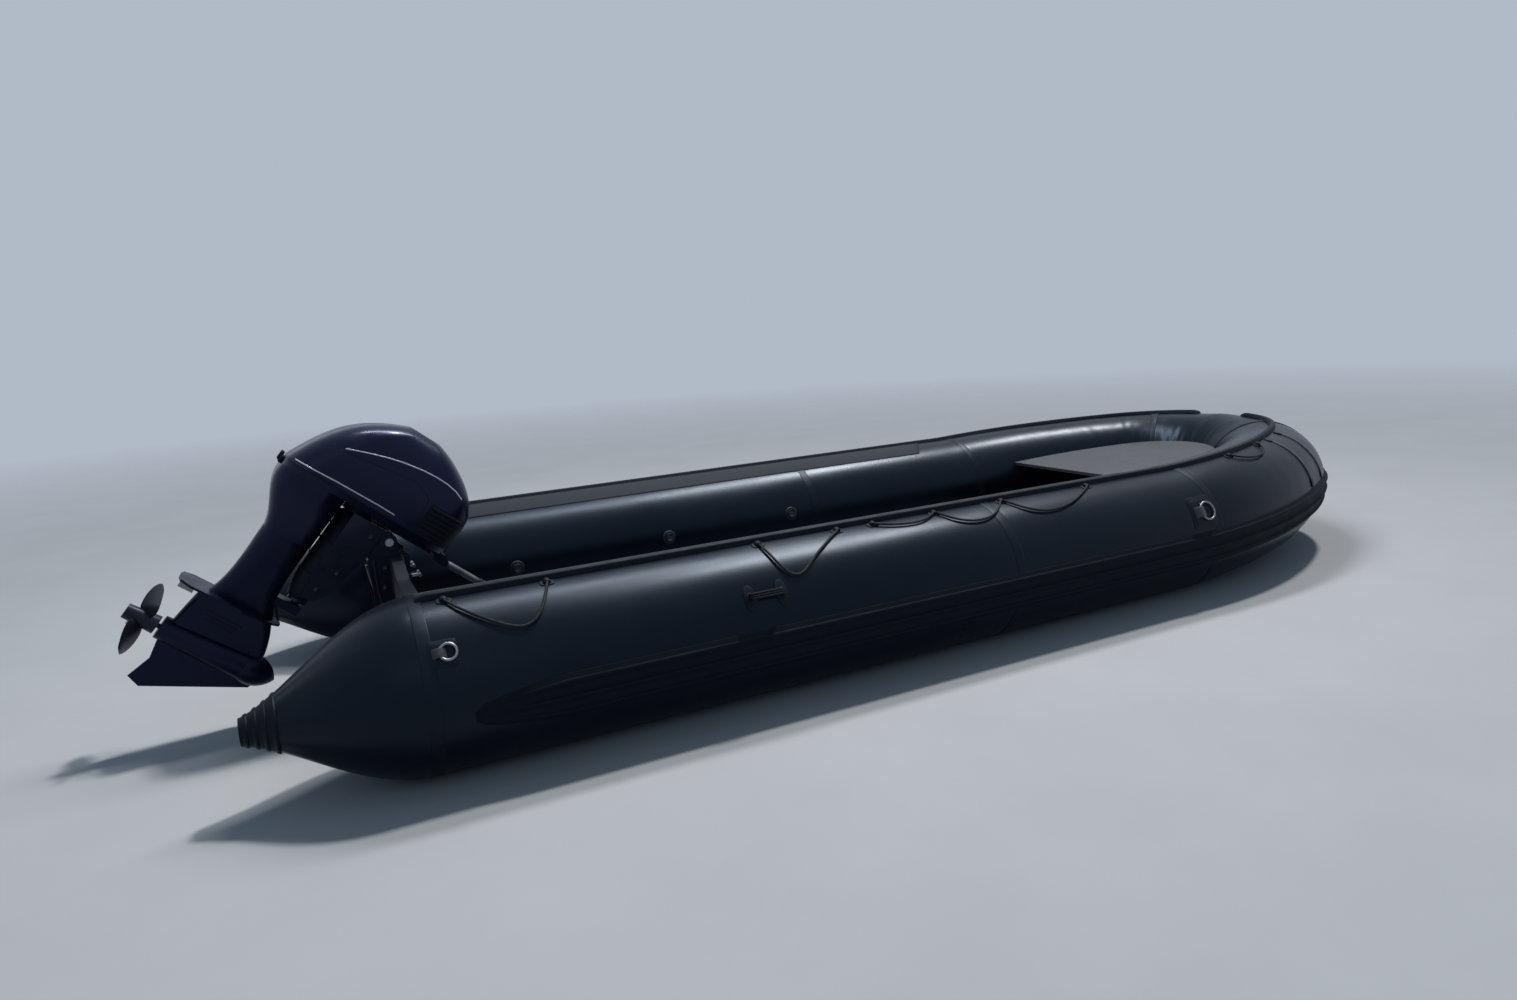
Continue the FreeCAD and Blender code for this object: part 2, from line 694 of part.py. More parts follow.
def tow_patch():
    """A patch on the nose above the strake, with the lug that the towing ring runs through."""
    inner = TUBE_RADIUS + SEAT_GAP
    low = TOW_RING_ANGLE - TOW_PATCH_ANGLE / 2
    high = TOW_RING_ANGLE + TOW_PATCH_ANGLE / 2
    patch = round_nose(band_face(inner, [(low, high, inner + PATCH_THICKNESS)]), TOW_PATCH_REACH)
    lug = block_on_tube(TOW_LUG_HALF_LENGTH, TOW_LUG_HALF_WIDTH, TOW_LUG_HEIGHT, PATH_LENGTH, TOW_RING_ANGLE)
    return fused([patch, lug]).cut(towing_ring(TOW_BAR_RADIUS + SEAT_GAP))


# Straps over each side of the bow: distance before the nose's middle
BOW_STRAPS = [1010.0, 790.0]


def bow_straps():
    inner = TUBE_RADIUS + SEAT_GAP
    face = band_face(inner, [(STRAP_FROM_ANGLE, STRAP_TO_ANGLE, inner + STRIP_THICKNESS)])
    straps = []
    for before_nose in BOW_STRAPS:
        station = PATH_LENGTH - before_nose
        straps.append(along_tube(face, station - STRAP_WIDTH / 2, station + STRAP_WIDTH / 2))
    return Part.makeCompound(straps)


# Outboard motor


def tilted(shape):
    """Takes a piece from the motor's upright frame to where it stands, tilted up on the transom."""
    moved = shape.copy()
    moved.rotate(ORIGIN, Y_AXIS, REST_TILT)
    moved.translate(V(TILT_X, 0, TILT_Z))
    return moved


def standing(shape):
    """Takes a piece that doesn't tilt to its place on the transom."""
    moved = shape.copy()
    moved.translate(V(TILT_X, 0, TILT_Z))
    return moved


def polar(radius, angle):
    return V(radius * math.cos(radians(angle)), radius * math.sin(radians(angle)), 0)


def rounded_wire(e_low, e_high, half_width, u, roundness):
    """A closed outline at one height: a rectangle with rounded corners."""
    corner = min(half_width, (e_high - e_low) / 2) * roundness
    inset_y = half_width - corner
    corners = [
        (e_high - corner, inset_y, 0.0),
        (e_low + corner, inset_y, 90.0),
        (e_low + corner, -inset_y, 180.0),
        (e_high - corner, -inset_y, 270.0),
    ]
    arcs = []
    for e, y, angle in corners:
        arcs.append([V(e, y, u) + polar(corner, angle + turn) for turn in (0.0, 45.0, 90.0)])
    edges = []
    for arc, following in zip(arcs, arcs[1:] + arcs[:1]):
        edges.append(Part.Arc(*arc).toShape())
        edges.append(Part.makeLine(arc[-1], following[0]))
    return Part.Wire(edges)


# Cowl sections: height, rear end, front end, half width
COWL_SECTIONS = [
    (COWL_BOTTOM, -494.0, 208.0, COWL_HALF_WIDTH),
    (172.0, -455.0, 216.0, COWL_HALF_WIDTH),
    (262.0, -402.0, 203.0, COWL_HALF_WIDTH - 8),
    (340.0, -330.0, 138.0, COWL_HALF_WIDTH - 28),
    (400.0, -240.0, 45.0, COWL_HALF_WIDTH - 62),
    (434.0, -172.0, -40.0, COWL_HALF_WIDTH - 118),
]

# Apron sections under the pan: height, rear end, front end, half width
APRON_SECTIONS = [
    (PAN_BOTTOM, -492.0, HOUSING_FRONT, 160.0),
    (-32.0, -481.0, HOUSING_FRONT, 132.0),
    (-125.0, -432.0, HOUSING_FRONT, 96.0),
    (HOUSING_TOP, -414.0, HOUSING_FRONT, 82.0),
]

# Drive housing sections down to the anti-ventilation plate: height, rear end, front end, half width
HOUSING_SECTIONS = [
    (HOUSING_TOP, -414.0, HOUSING_FRONT, 82.0),
    (-300.0, -412.0, HOUSING_FRONT, 62.0),
    (-440.0, -422.0, -205.0, 50.0),
    (PLATE_U + PLATE_THICKNESS, -436.0, -180.0, 46.0),
]


def loft_sections(sections, roundness, inset=0.0):
    wires = []
    for u, e_low, e_high, half in sections:
        wires.append(rounded_wire(e_low + inset, e_high - inset, half - inset, u, roundness))
    return Part.makeLoft(wires, True, False)


def upper_cowl():
    """The moulded hood, an open shell one wall thick."""
    inner = [(u - (COWL_WALL if index else 1.0), *rest) for index, (u, *rest) in enumerate(COWL_SECTIONS)]
    return loft_sections(COWL_SECTIONS, COWL_ROUNDNESS).cut(loft_sections(inner, COWL_ROUNDNESS, COWL_WALL))


def engine_block():
    return box((-300, -95, COWL_BOTTOM), (90, 95, 300))


def lower_cowl():
    lip = [
        (PAN_BOTTOM, -492.0, 200.0, COWL_HALF_WIDTH - 8),
        (COWL_BOTTOM - SEAT_GAP, -494.0, 208.0, COWL_HALF_WIDTH),
    ]
    return fused([loft_sections(lip, COWL_ROUNDNESS), loft_sections(APRON_SECTIONS, COWL_ROUNDNESS)])


def drive_housing():
    housing = loft_sections(HOUSING_SECTIONS, 0.9)
    foot = box((STEER_E - 70, -40, SWIVEL_TUBE_BOTTOM - 46), (STEER_E + 30, 40, SWIVEL_TUBE_BOTTOM - 12))
    pin = rod(SWIVEL_PIN_RADIUS, V(STEER_E, 0, SWIVEL_TUBE_BOTTOM - 20), V(STEER_E, 0, STEER_BRACKET_BOTTOM))
    return fused([housing, foot, pin])


def steer_bracket():
    return box(
        (STEER_E - 50, -STEER_BRACKET_HALF_WIDTH, STEER_BRACKET_BOTTOM),
        (TILLER_PIVOT_E - 20, STEER_BRACKET_HALF_WIDTH, STEER_BRACKET_TOP),
    )


def gearcase():
    strut = loft_sections(
        [
            (PROP_AXIS_U, STRUT_BACK_E - 14, -120.0, 28.0),
            (PLATE_U - 60, STRUT_BACK_E, -150.0, 32.0),
            (PLATE_U, STRUT_BACK_E + 8, -180.0, 44.0),
        ],
        0.95,
    )
    nose = GEAR_NOSE_E - GEAR_RADIUS * 2.2
    tip = V(GEAR_NOSE_E, 0, PROP_AXIS_U)
    cheek = V(GEAR_NOSE_E - GEAR_RADIUS * 0.62, 0, PROP_AXIS_U + GEAR_RADIUS * 0.72)
    shoulder = V(nose, 0, PROP_AXIS_U + GEAR_RADIUS)
    rear = V(GEAR_END_E, 0, PROP_AXIS_U + GEAR_RADIUS * 0.78)
    end = V(GEAR_END_E, 0, PROP_AXIS_U)
    profile = [
        Part.Arc(tip, cheek, shoulder).toShape(),
        Part.makeLine(shoulder, rear),
        Part.makeLine(rear, end),
        Part.makeLine(end, tip),
    ]
    torpedo = Part.Face(Part.Wire(profile)).revolve(V(0, 0, PROP_AXIS_U), X_AXIS, 360)
    bore = rod(PROP_SHAFT_RADIUS + RUNNING_GAP, end - X_AXIS, end + X_AXIS * 80)
    return fused([strut, torpedo, skeg(), ventilation_plate()]).cut(bore)


def skeg():
    root = PROP_AXIS_U - GEAR_RADIUS / 2
    outline = [
        (GEAR_NOSE_E - 50, root),
        (GEAR_NOSE_E - 67, PROP_AXIS_U - GEAR_RADIUS - 9),
        (SKEG_TIP_E + 51, SKEG_TIP_U - 18),
        (SKEG_TIP_E, SKEG_TIP_U),
        (SKEG_TIP_E + 26, SKEG_TIP_U + 90),
        (GEAR_END_E + 14, root),
    ]
    return plate(outline, -SKEG_THICKNESS / 2, SKEG_THICKNESS / 2)


def ventilation_plate():
    half = PLATE_HALF_WIDTH
    outline = [
        (-150, -22),
        (-180, -60),
        (-300, -half),
        (PLATE_BACK_E + 46, -half),
        (PLATE_BACK_E + 8, -74),
        (PLATE_BACK_E, -30),
    ]
    points = outline + [(e, -y) for e, y in reversed(outline)]
    return plane_face([(e, y, PLATE_U) for e, y in points]).extrude(V(0, 0, PLATE_THICKNESS))


def trim_tab():
    high_e = PLATE_BACK_E + 14 + TAB_LENGTH
    return box(
        (high_e - TAB_LENGTH, -TAB_THICKNESS / 2, PLATE_U - TAB_HEIGHT - SEAT_GAP),
        (high_e, TAB_THICKNESS / 2, PLATE_U - SEAT_GAP),
    )


def propeller():
    """Hub, shaft and pitched blades, each blade a loft of lens sections that widen and flatten outwards."""
    hub_end = PROP_E - PROP_HUB_LENGTH / 2
    hub_start = PROP_E + PROP_HUB_LENGTH / 2
    hub = Part.makeCone(PROP_HUB_RADIUS * 0.8, PROP_HUB_RADIUS, PROP_HUB_LENGTH, V(hub_end, 0, 0), X_AXIS)
    shaft = rod(PROP_SHAFT_RADIUS, V(hub_start - 5, 0, 0), V(GEAR_END_E + 70, 0, 0))
    pieces = [hub, shaft]
    for index in range(PROP_BLADES):
        blade = propeller_blade()
        blade.rotate(ORIGIN, X_AXIS, 360.0 * index / PROP_BLADES + 20)
        pieces.append(blade)
    whole = fused(pieces)
    whole.translate(V(0, 0, PROP_AXIS_U))
    return whole


# Blade sections: share of the propeller's radius, chord, thickness, pitch angle from the disc's plane
BLADE_SECTIONS = [
    (0.18, 62.0, 12.0, 52.0),
    (0.5, 112.0, 7.0, 34.0),
    (0.8, 108.0, 5.0, 25.0),
    (1.0, 52.0, 3.0, 21.0),
]


def propeller_blade():
    wires = []
    for share, chord, thickness, pitch in BLADE_SECTIONS:
        height = share * PROP_RADIUS
        ends = V(0, -chord / 2, 0), V(0, chord / 2, 0)
        arcs = [
            Part.Arc(ends[0], V(thickness, 0, 0), ends[1]).toShape(),
            Part.Arc(ends[1], V(thickness * -0.2, 0, 0), ends[0]).toShape(),
        ]
        wire = Part.Wire(arcs)
        wire.rotate(ORIGIN, Z_AXIS, pitch)
        wire.translate(V(PROP_E, 0, height))
        wires.append(wire)
    return Part.makeLoft(wires, True, False)


def clamp_bracket():
    """One side plate that drops down the transom's back, hooks over its top and carries the tilt tube."""
    back = TRANSOM_X - TILT_X
    top = TRANSOM_TOP - TILT_Z
    inner = back + TRANSOM_THICKNESS + PAD_PLATE_THICKNESS
    outline = [
        (back, top - CLAMP_DROP),
        (back, top + SEAT_GAP),
        (inner + 6, top + SEAT_GAP),
        (inner + 6, top - HOOK_DROP),
        (inner + 6 + HOOK_THICKNESS, top - HOOK_DROP + 12),
        (min(inner + 6 + HOOK_THICKNESS, HOOK_REACH), top - 6),
        (inner, top + 22),
        (CLAMP_BOSS_RADIUS * 0.7, CLAMP_BOSS_RADIUS * 0.7),
        (-CLAMP_BOSS_RADIUS * 0.7, CLAMP_BOSS_RADIUS * 0.7),
        (back - CLAMP_DEPTH, top - 10),
        (back - CLAMP_DEPTH * 0.8, top - CLAMP_DROP * 0.8),
        (back - CLAMP_DEPTH * 0.35, top - CLAMP_DROP),
    ]
    side = plate(outline, CLAMP_OFFSET, CLAMP_OFFSET + CLAMP_THICKNESS)
    boss = rod(CLAMP_BOSS_RADIUS, V(0, CLAMP_OFFSET - 2, 0), V(0, CLAMP_OFFSET + CLAMP_THICKNESS + 6, 0))
    bore = rod(TILT_TUBE_RADIUS, V(0, CLAMP_OFFSET - 3, 0), V(0, CLAMP_OFFSET + CLAMP_THICKNESS + 7, 0))
    middle = CLAMP_OFFSET + CLAMP_THICKNESS / 2
    screw_z = top - HOOK_DROP * 0.62
    lug = rod(17, V(inner + 6, middle, screw_z), V(inner + 6 + HOOK_THICKNESS, middle, screw_z))
    return fused([side, boss, lug]).cut(bore)


def clamp_screws():
    """A screw with a pad and a bar handle through each hook."""
    inner = TRANSOM_X - TILT_X + TRANSOM_THICKNESS + PAD_PLATE_THICKNESS
    screw_z = TRANSOM_TOP - TILT_Z - HOOK_DROP * 0.62
    start = inner + 6 + HOOK_THICKNESS
    pieces = []
    for side in (-1, 1):
        middle = side * (CLAMP_OFFSET + CLAMP_THICKNESS / 2)
        pad_start = V(inner, middle, screw_z)
        pad = rod(CLAMP_PAD_RADIUS, pad_start, pad_start + X_AXIS * CLAMP_PAD_THICKNESS)
        screw = rod(CLAMP_SCREW_RADIUS, V(start, middle, screw_z), V(start + 34, middle, screw_z))
        half = V(0, CLAMP_HANDLE_LENGTH / 2, 0)
        end = V(start + 30, middle, screw_z)
        handle = rod(6, end - half, end + half)
        pieces.append(pad)
        pieces.append(fused([screw, handle]))
    return Part.makeCompound(pieces)


def tilt_tube():
    reach = CLAMP_OFFSET + CLAMP_THICKNESS + 16
    return rod(TILT_TUBE_RADIUS, V(0, -reach, 0), V(0, reach, 0))


def swivel_bracket():
    """Knuckle on the tilt tube, two webs and the upright tube that the motor steers in."""
    web = [
        (STEER_E - 18, KNUCKLE_RADIUS + 1),
        (0, KNUCKLE_RADIUS),
        (20, -18),
        (-18, -42),
        (-30, -100),
        (-48, -180),
        (CYLINDER_PIN_X - 28, CYLINDER_PIN_Z + 10),
        (STEER_E + 48, SWIVEL_TUBE_BOTTOM + 40),
        (STEER_E - 8, SWIVEL_TUBE_BOTTOM + 32),
        (STEER_E - 18, SWIVEL_TUBE_BOTTOM + 150),
    ]
    outer = WEB_OFFSET + WEB_THICKNESS
    back_low = (STEER_E - 18, -WEB_OFFSET, SWIVEL_TUBE_BOTTOM + 150)
    back_high = (STEER_E + 6, WEB_OFFSET, KNUCKLE_RADIUS - 1)
    pieces = [
        plate(web, WEB_OFFSET, outer),
        plate(web, -outer, -WEB_OFFSET),
        rod(SWIVEL_TUBE_RADIUS, V(STEER_E, 0, SWIVEL_TUBE_BOTTOM), V(STEER_E, 0, SWIVEL_TUBE_TOP)),
        rod(KNUCKLE_RADIUS, Y_AXIS * (-outer - 12), Y_AXIS * (outer + 12)),
        box(back_low, back_high),
    ]
    solid = fused(pieces)
    solid = solid.cut(rod(TILT_TUBE_RADIUS + RUNNING_GAP, Y_AXIS * (-2 * outer), Y_AXIS * (2 * outer)))
    bore_radius = SWIVEL_PIN_RADIUS + RUNNING_GAP
    start = V(STEER_E, 0, SWIVEL_TUBE_BOTTOM - 1)
    return solid.cut(rod(bore_radius, start, V(STEER_E, 0, SWIVEL_TUBE_TOP + 1)))


def eye_at_rest():
    return FreeCAD.Rotation(Y_AXIS, REST_TILT).multVec(V(EYE_E, 0, EYE_U))


def cylinder_direction():
    return (eye_at_rest() - V(CYLINDER_PIN_X, 0, CYLINDER_PIN_Z)).normalize()


def tilt_cylinder():
    foot = V(CYLINDER_PIN_X, 0, CYLINDER_PIN_Z)
    direction = cylinder_direction()
    body = rod(CYLINDER_RADIUS, foot + direction * 12, foot + direction * CYLINDER_LENGTH)
    reach = CLAMP_OFFSET - SEAT_GAP
    pin = rod(10, V(CYLINDER_PIN_X, -reach, CYLINDER_PIN_Z), V(CYLINDER_PIN_X, reach, CYLINDER_PIN_Z))
    eye = rod(17, V(CYLINDER_PIN_X, -14, CYLINDER_PIN_Z), V(CYLINDER_PIN_X, 14, CYLINDER_PIN_Z))
    bore = rod(
        ROD_RADIUS + RUNNING_GAP,
        foot + direction * (CYLINDER_LENGTH - BORE_DEPTH),
        foot + direction * (CYLINDER_LENGTH + 1),
    )
    return fused([body, pin, eye]).cut(bore)


def tilt_rod():
    foot = V(CYLINDER_PIN_X, 0, CYLINDER_PIN_Z)
    direction = cylinder_direction()
    eye = eye_at_rest()
    start = foot + direction * (CYLINDER_LENGTH - ROD_INSIDE)
    shaft = rod(ROD_RADIUS, start, eye)
    ring = rod(EYE_RADIUS, eye - Y_AXIS * 12, eye + Y_AXIS * 12)
    pin = rod(7, eye - Y_AXIS * (EYE_PIN_LENGTH / 2), eye + Y_AXIS * (EYE_PIN_LENGTH / 2))
    return fused([shaft, ring, pin])


def tiller_bracket():
    """Ears at the end of the steering bracket that hold the tiller's pin."""
    ears = []
    for side in (-1, 1):
        low = min(side * TILLER_EAR_INSIDE, side * (TILLER_EAR_INSIDE + 10))
        outline = [
            (TILLER_PIVOT_E - 60, STEER_BRACKET_BOTTOM),
            (TILLER_PIVOT_E - 30, TILLER_PIVOT_U - 14),
            (TILLER_PIVOT_E + 12, TILLER_PIVOT_U - 14),
            (TILLER_PIVOT_E + 14, TILLER_PIVOT_U + 10),
            (TILLER_PIVOT_E - 20, STEER_BRACKET_TOP),
            (TILLER_PIVOT_E - 60, STEER_BRACKET_TOP),
        ]
        ears.append(plate(outline, low, low + 10))
    pivot = V(TILLER_PIVOT_E, 0, TILLER_PIVOT_U)
    half = Y_AXIS * (TILLER_EAR_INSIDE + 10)
    return ears + [rod(TILLER_PIN_RADIUS, pivot - half, pivot + half)]


def tiller():
    pivot = V(TILLER_PIVOT_E, 0, TILLER_PIVOT_U)
    end = pivot + X_AXIS * TILLER_LENGTH
    grip_start = end - X_AXIS * TILLER_GRIP_LENGTH
    half = Y_AXIS * (TILLER_EAR_INSIDE - SEAT_GAP)
    knuckle = rod(15, pivot - half, pivot + half)
    arm = rod(TILLER_ARM_RADIUS, pivot, grip_start)
    bore = rod(TILLER_PIN_RADIUS + RUNNING_GAP, pivot - Y_AXIS * 40, pivot + Y_AXIS * 40)
    return fused([knuckle, arm]).cut(bore)


def tiller_grip():
    end = V(TILLER_PIVOT_E + TILLER_LENGTH, 0, TILLER_PIVOT_U)
    return rod(TILLER_GRIP_RADIUS, end - X_AXIS * TILLER_GRIP_LENGTH, end)


# Cords


def cord_tube(points, radius):
    """A rope of straight runs and tangent arcs through a route of points."""
    edges = []
    radii = []
    start = points[0]
    for before, corner, after in zip(points, points[1:], points[2:]):
        into = (corner - before).normalize()
        out = (after - corner).normalize()
        turn = into.getAngle(out)
        shorter = min((corner - before).Length, (after - corner).Length)
        tangent = 0.45 * shorter
        bend = tangent / math.tan(turn / 2)
        radii.append(bend)
        first = corner - into * tangent
        last = corner + out * tangent
        toward = (out - into).normalize()
        middle = corner + toward * (bend / math.cos(turn / 2) - bend)
        edges.append(Part.makeLine(start, first))
        edges.append(Part.Arc(first, middle, last).toShape())
        start = last
    edges.append(Part.makeLine(start, points[-1]))
    path = Part.Wire(edges)
    ring = Part.Wire(Part.makeCircle(radius, points[0], points[1] - points[0]))
    solid = path.makePipeShell([ring], True, False)
    expected = math.pi * radius**2 * path.Length
    ratio = solid.Volume / expected
    print("cord: length %.0f, tightest %.0f, volume ratio %.4f" % (path.Length, min(radii), ratio))
    return solid


def rope_route(table):
    """Route points from pairs of (station, angle round the tube), lying just outside the tube."""
    reach = TUBE_RADIUS + ROPE_RADIUS + ROPE_STANDOFF
    return [place_at(station).multVec(ring_point(reach, angle)) for station, angle in table]


# Lifeline loops, from holder to holder: pairs of (station, angle round the tube)
LIFELINES = {
    "1": [
        (92, 73.5), (112, 66.5), (147, 59), (190, 52), (232, 46.5), (272, 42.2),
        (312, 40.2), (350, 42.5), (380, 48.5), (403, 57), (422, 66), (436, 73.5),
    ],
    "2": [
        (1250, 73.5), (1254, 66), (1262, 58.5), (1272, 51.5), (1285, 45.5), (1305, 40.8), (1332, 38.8),
        (1364, 41), (1404, 46.8), (1450, 53.5), (1500, 60), (1550, 67), (1600, 73.5),
    ],
    "3": [(1768, 73.5), (1815, 69.8), (1870, 67), (1925, 65.8), (1978, 66.2), (2024, 69), (2062, 73.5)],
    "4": [
        (2082, 73.5), (2107, 66), (2146, 60), (2198, 56.5),
        (2258, 55.5), (2318, 58), (2374, 64.5), (2420, 73.5),
    ],
    "5": [
        (2440, 73.5), (2468, 65.5), (2508, 58.5), (2560, 54), (2620, 52.5),
        (2685, 53.5), (2750, 56.5), (2815, 61.5), (2875, 67.5), (2925, 73.5),
    ],
    "6": [
        (3922, 73.5), (3950, 67.5), (3995, 63), (4050, 60.5),
        (4110, 60.3), (4165, 62.5), (4210, 67), (4244, 73.5),
    ],
}


def build():
    shapes = {}

    def each_side(name, shape):
        shapes[name + "_port"] = shape
        shapes[name + "_starboard"] = starboard(shape)

    def both_sides(name, shape):
        shapes[name] = Part.makeCompound([shape, starboard(shape)])

    each_side("side_tube", side_tube())
    each_side("bow_tube", bow_tube())
    each_side("tail_cone", tail_cone())
    both_sides("cone_caps", cone_cap())
    both_sides("grip_strips", grip_strip())
    both_sides("grab_rails", rail())
    both_sides("rub_strakes", rub_strake())
    both_sides("ring_patches", ring_patches())
    both_sides("lifting_rings", lifting_rings())
    both_sides("handle_patches", handle_patches())
    both_sides("carry_handles", carry_handles())
    both_sides("valves", valves())
    both_sides("floor_stringers", floor_stringer())
    both_sides("rope_holders", rope_holders())
    shapes["bottom_fabric"] = bottom_fabric()
    shapes["keel_tube"] = keel_tube()
    shapes["floor_panels"] = floor_panels()
    shapes["transom"] = transom()
    shapes["transom_pad"] = transom_pad()
    shapes["transom_drains"] = transom_drains()
    shapes["bow_platform"] = bow_platform()
    shapes["tow_patch"] = tow_patch()
    shapes["tow_ring"] = towing_ring(TOW_BAR_RADIUS)
    both_sides("bow_straps", bow_straps())
    for name, table in LIFELINES.items():
        rope = cord_tube(rope_route(table), ROPE_RADIUS)
        shapes["lifeline_port_" + name] = rope
        shapes["lifeline_starboard_" + name] = starboard(rope)
    clamp = clamp_bracket()
    shapes["clamp_bracket_port"] = standing(clamp)
    shapes["clamp_bracket_starboard"] = standing(starboard(clamp))
    shapes["clamp_screws"] = standing(clamp_screws())
    shapes["tilt_tube"] = standing(tilt_tube())
    shapes["tilt_cylinder"] = standing(tilt_cylinder())
    shapes["tilt_rod"] = standing(tilt_rod())
    shapes["swivel_bracket"] = tilted(swivel_bracket())
    shapes["upper_cowl"] = tilted(upper_cowl())
    shapes["lower_cowl"] = tilted(lower_cowl())
    shapes["engine_block"] = tilted(engine_block())
    shapes["drive_housing"] = tilted(drive_housing())
    shapes["steer_bracket"] = tilted(fused([steer_bracket()] + tiller_bracket()))
    shapes["gearcase"] = tilted(gearcase())
    shapes["trim_tab"] = tilted(trim_tab())
    shapes["propeller"] = tilted(propeller())
    shapes["tiller_arm"] = tilted(tiller())
    shapes["tiller_grip"] = tilted(tiller_grip())
    return shapes


def main():
    shapes = build()
    whole = Part.makeCompound(list(shapes.values())).optimalBoundingBox(False, False)
    shift = V(-(whole.XMin + whole.XMax) / 2, 0, 0)
    print("box X %.1f %.1f Y %.1f %.1f" % (whole.XMin, whole.XMax, whole.YMin, whole.YMax))
    print("box Z %.1f %.1f, shift %.2f" % (whole.ZMin, whole.ZMax, shift.x))
    os.makedirs("parts", exist_ok=True)
    for name, shape in shapes.items():
        moved = shape.copy()
        moved.translate(shift)
        if not moved.isValid():
            print("not valid:", name)
        print(name, len(moved.Solids), "%.4f" % (moved.Volume / 1e9))
        moved.exportStep("parts/%s.step" % name)


main()
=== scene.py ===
import math

import bmesh
import bpy
from mathutils import Matrix, Vector, noise
from mathutils.bvhtree import BVHTree
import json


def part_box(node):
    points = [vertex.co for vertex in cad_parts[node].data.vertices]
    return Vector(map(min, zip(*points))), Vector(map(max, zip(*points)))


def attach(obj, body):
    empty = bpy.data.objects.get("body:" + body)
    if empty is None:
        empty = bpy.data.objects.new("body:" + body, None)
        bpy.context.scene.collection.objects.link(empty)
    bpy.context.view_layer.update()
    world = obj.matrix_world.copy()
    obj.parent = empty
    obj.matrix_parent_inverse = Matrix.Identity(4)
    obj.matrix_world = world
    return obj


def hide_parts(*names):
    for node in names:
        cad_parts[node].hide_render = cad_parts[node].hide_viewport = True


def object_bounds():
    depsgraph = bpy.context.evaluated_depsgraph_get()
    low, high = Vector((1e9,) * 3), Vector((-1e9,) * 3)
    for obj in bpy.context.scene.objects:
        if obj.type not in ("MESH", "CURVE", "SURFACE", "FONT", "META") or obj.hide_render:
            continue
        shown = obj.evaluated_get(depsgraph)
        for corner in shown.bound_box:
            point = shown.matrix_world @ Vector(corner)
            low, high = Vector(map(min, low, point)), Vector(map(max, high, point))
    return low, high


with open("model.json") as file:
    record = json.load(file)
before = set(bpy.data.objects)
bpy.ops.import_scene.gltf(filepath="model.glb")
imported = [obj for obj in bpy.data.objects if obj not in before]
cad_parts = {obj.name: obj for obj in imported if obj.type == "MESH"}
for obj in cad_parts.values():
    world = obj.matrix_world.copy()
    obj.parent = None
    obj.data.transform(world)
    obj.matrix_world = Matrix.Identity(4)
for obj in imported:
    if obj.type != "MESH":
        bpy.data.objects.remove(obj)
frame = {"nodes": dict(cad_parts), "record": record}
CAD_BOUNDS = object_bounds()

# Hull sizes in metres, as the solids have them
HULL_LENGTH = 5.850
TUBE_RADIUS = 0.305
TUBE_OFFSET = 0.875
STRAIGHT_END = 3.964
SHEER_RADIUS = 3.000
SHEER_ANGLE = math.radians(2.52)
NOSE_BEND_RADIUS = 0.653
CONE_LENGTH = 0.550
CONE_TIP_RADIUS = 0.045
CONE_TIP_HEIGHT = 0.275
CONE_FULLNESS = 1.35
CAP_LENGTH = 0.110
SEAT = 0.0003

# X of the cone tips, from the frame
STERN_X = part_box("side_tube_port")[0].x - CONE_LENGTH

# Camera, solved from the photograph's outlines: place in the hull's frame, turn, tilt, roll, focal length
IMAGE_WIDTH, IMAGE_HEIGHT = 1517.0, 1000.0
CAMERA_FROM_STERN = Vector((0.245, -4.267, 1.434))
CAMERA_YAW = math.radians(63.484)
CAMERA_ROLL = -0.066
CAMERA_FOCAL_PIXELS = 979.466
CAMERA_AXIS_X, CAMERA_AXIS_Y = 776.5, 481.5
HORIZON_Y = 322.658
SENSOR_WIDTH = 36.0

# Tube path of the port side
SHEER_END = STRAIGHT_END + SHEER_RADIUS * math.sin(SHEER_ANGLE)
SHEER_RISE = SHEER_RADIUS * (1 - math.cos(SHEER_ANGLE))
BOW_REACH = (HULL_LENGTH - TUBE_RADIUS - SHEER_END) / math.cos(SHEER_ANGLE)
QUARTER_RADIUS = (BOW_REACH**2 + TUBE_OFFSET**2 - 2 * BOW_REACH * NOSE_BEND_RADIUS) / (
    2 * (TUBE_OFFSET - NOSE_BEND_RADIUS)
)
QUARTER_ANGLE = math.atan2(BOW_REACH - NOSE_BEND_RADIUS, QUARTER_RADIUS - TUBE_OFFSET)
STRAIGHT_RUN = STRAIGHT_END - CONE_LENGTH
BOW_START = STRAIGHT_RUN + SHEER_RADIUS * SHEER_ANGLE
QUARTER_RUN = BOW_START + QUARTER_RADIUS * QUARTER_ANGLE
PATH_LENGTH = QUARTER_RUN + NOSE_BEND_RADIUS * (math.pi / 2 - QUARTER_ANGLE)


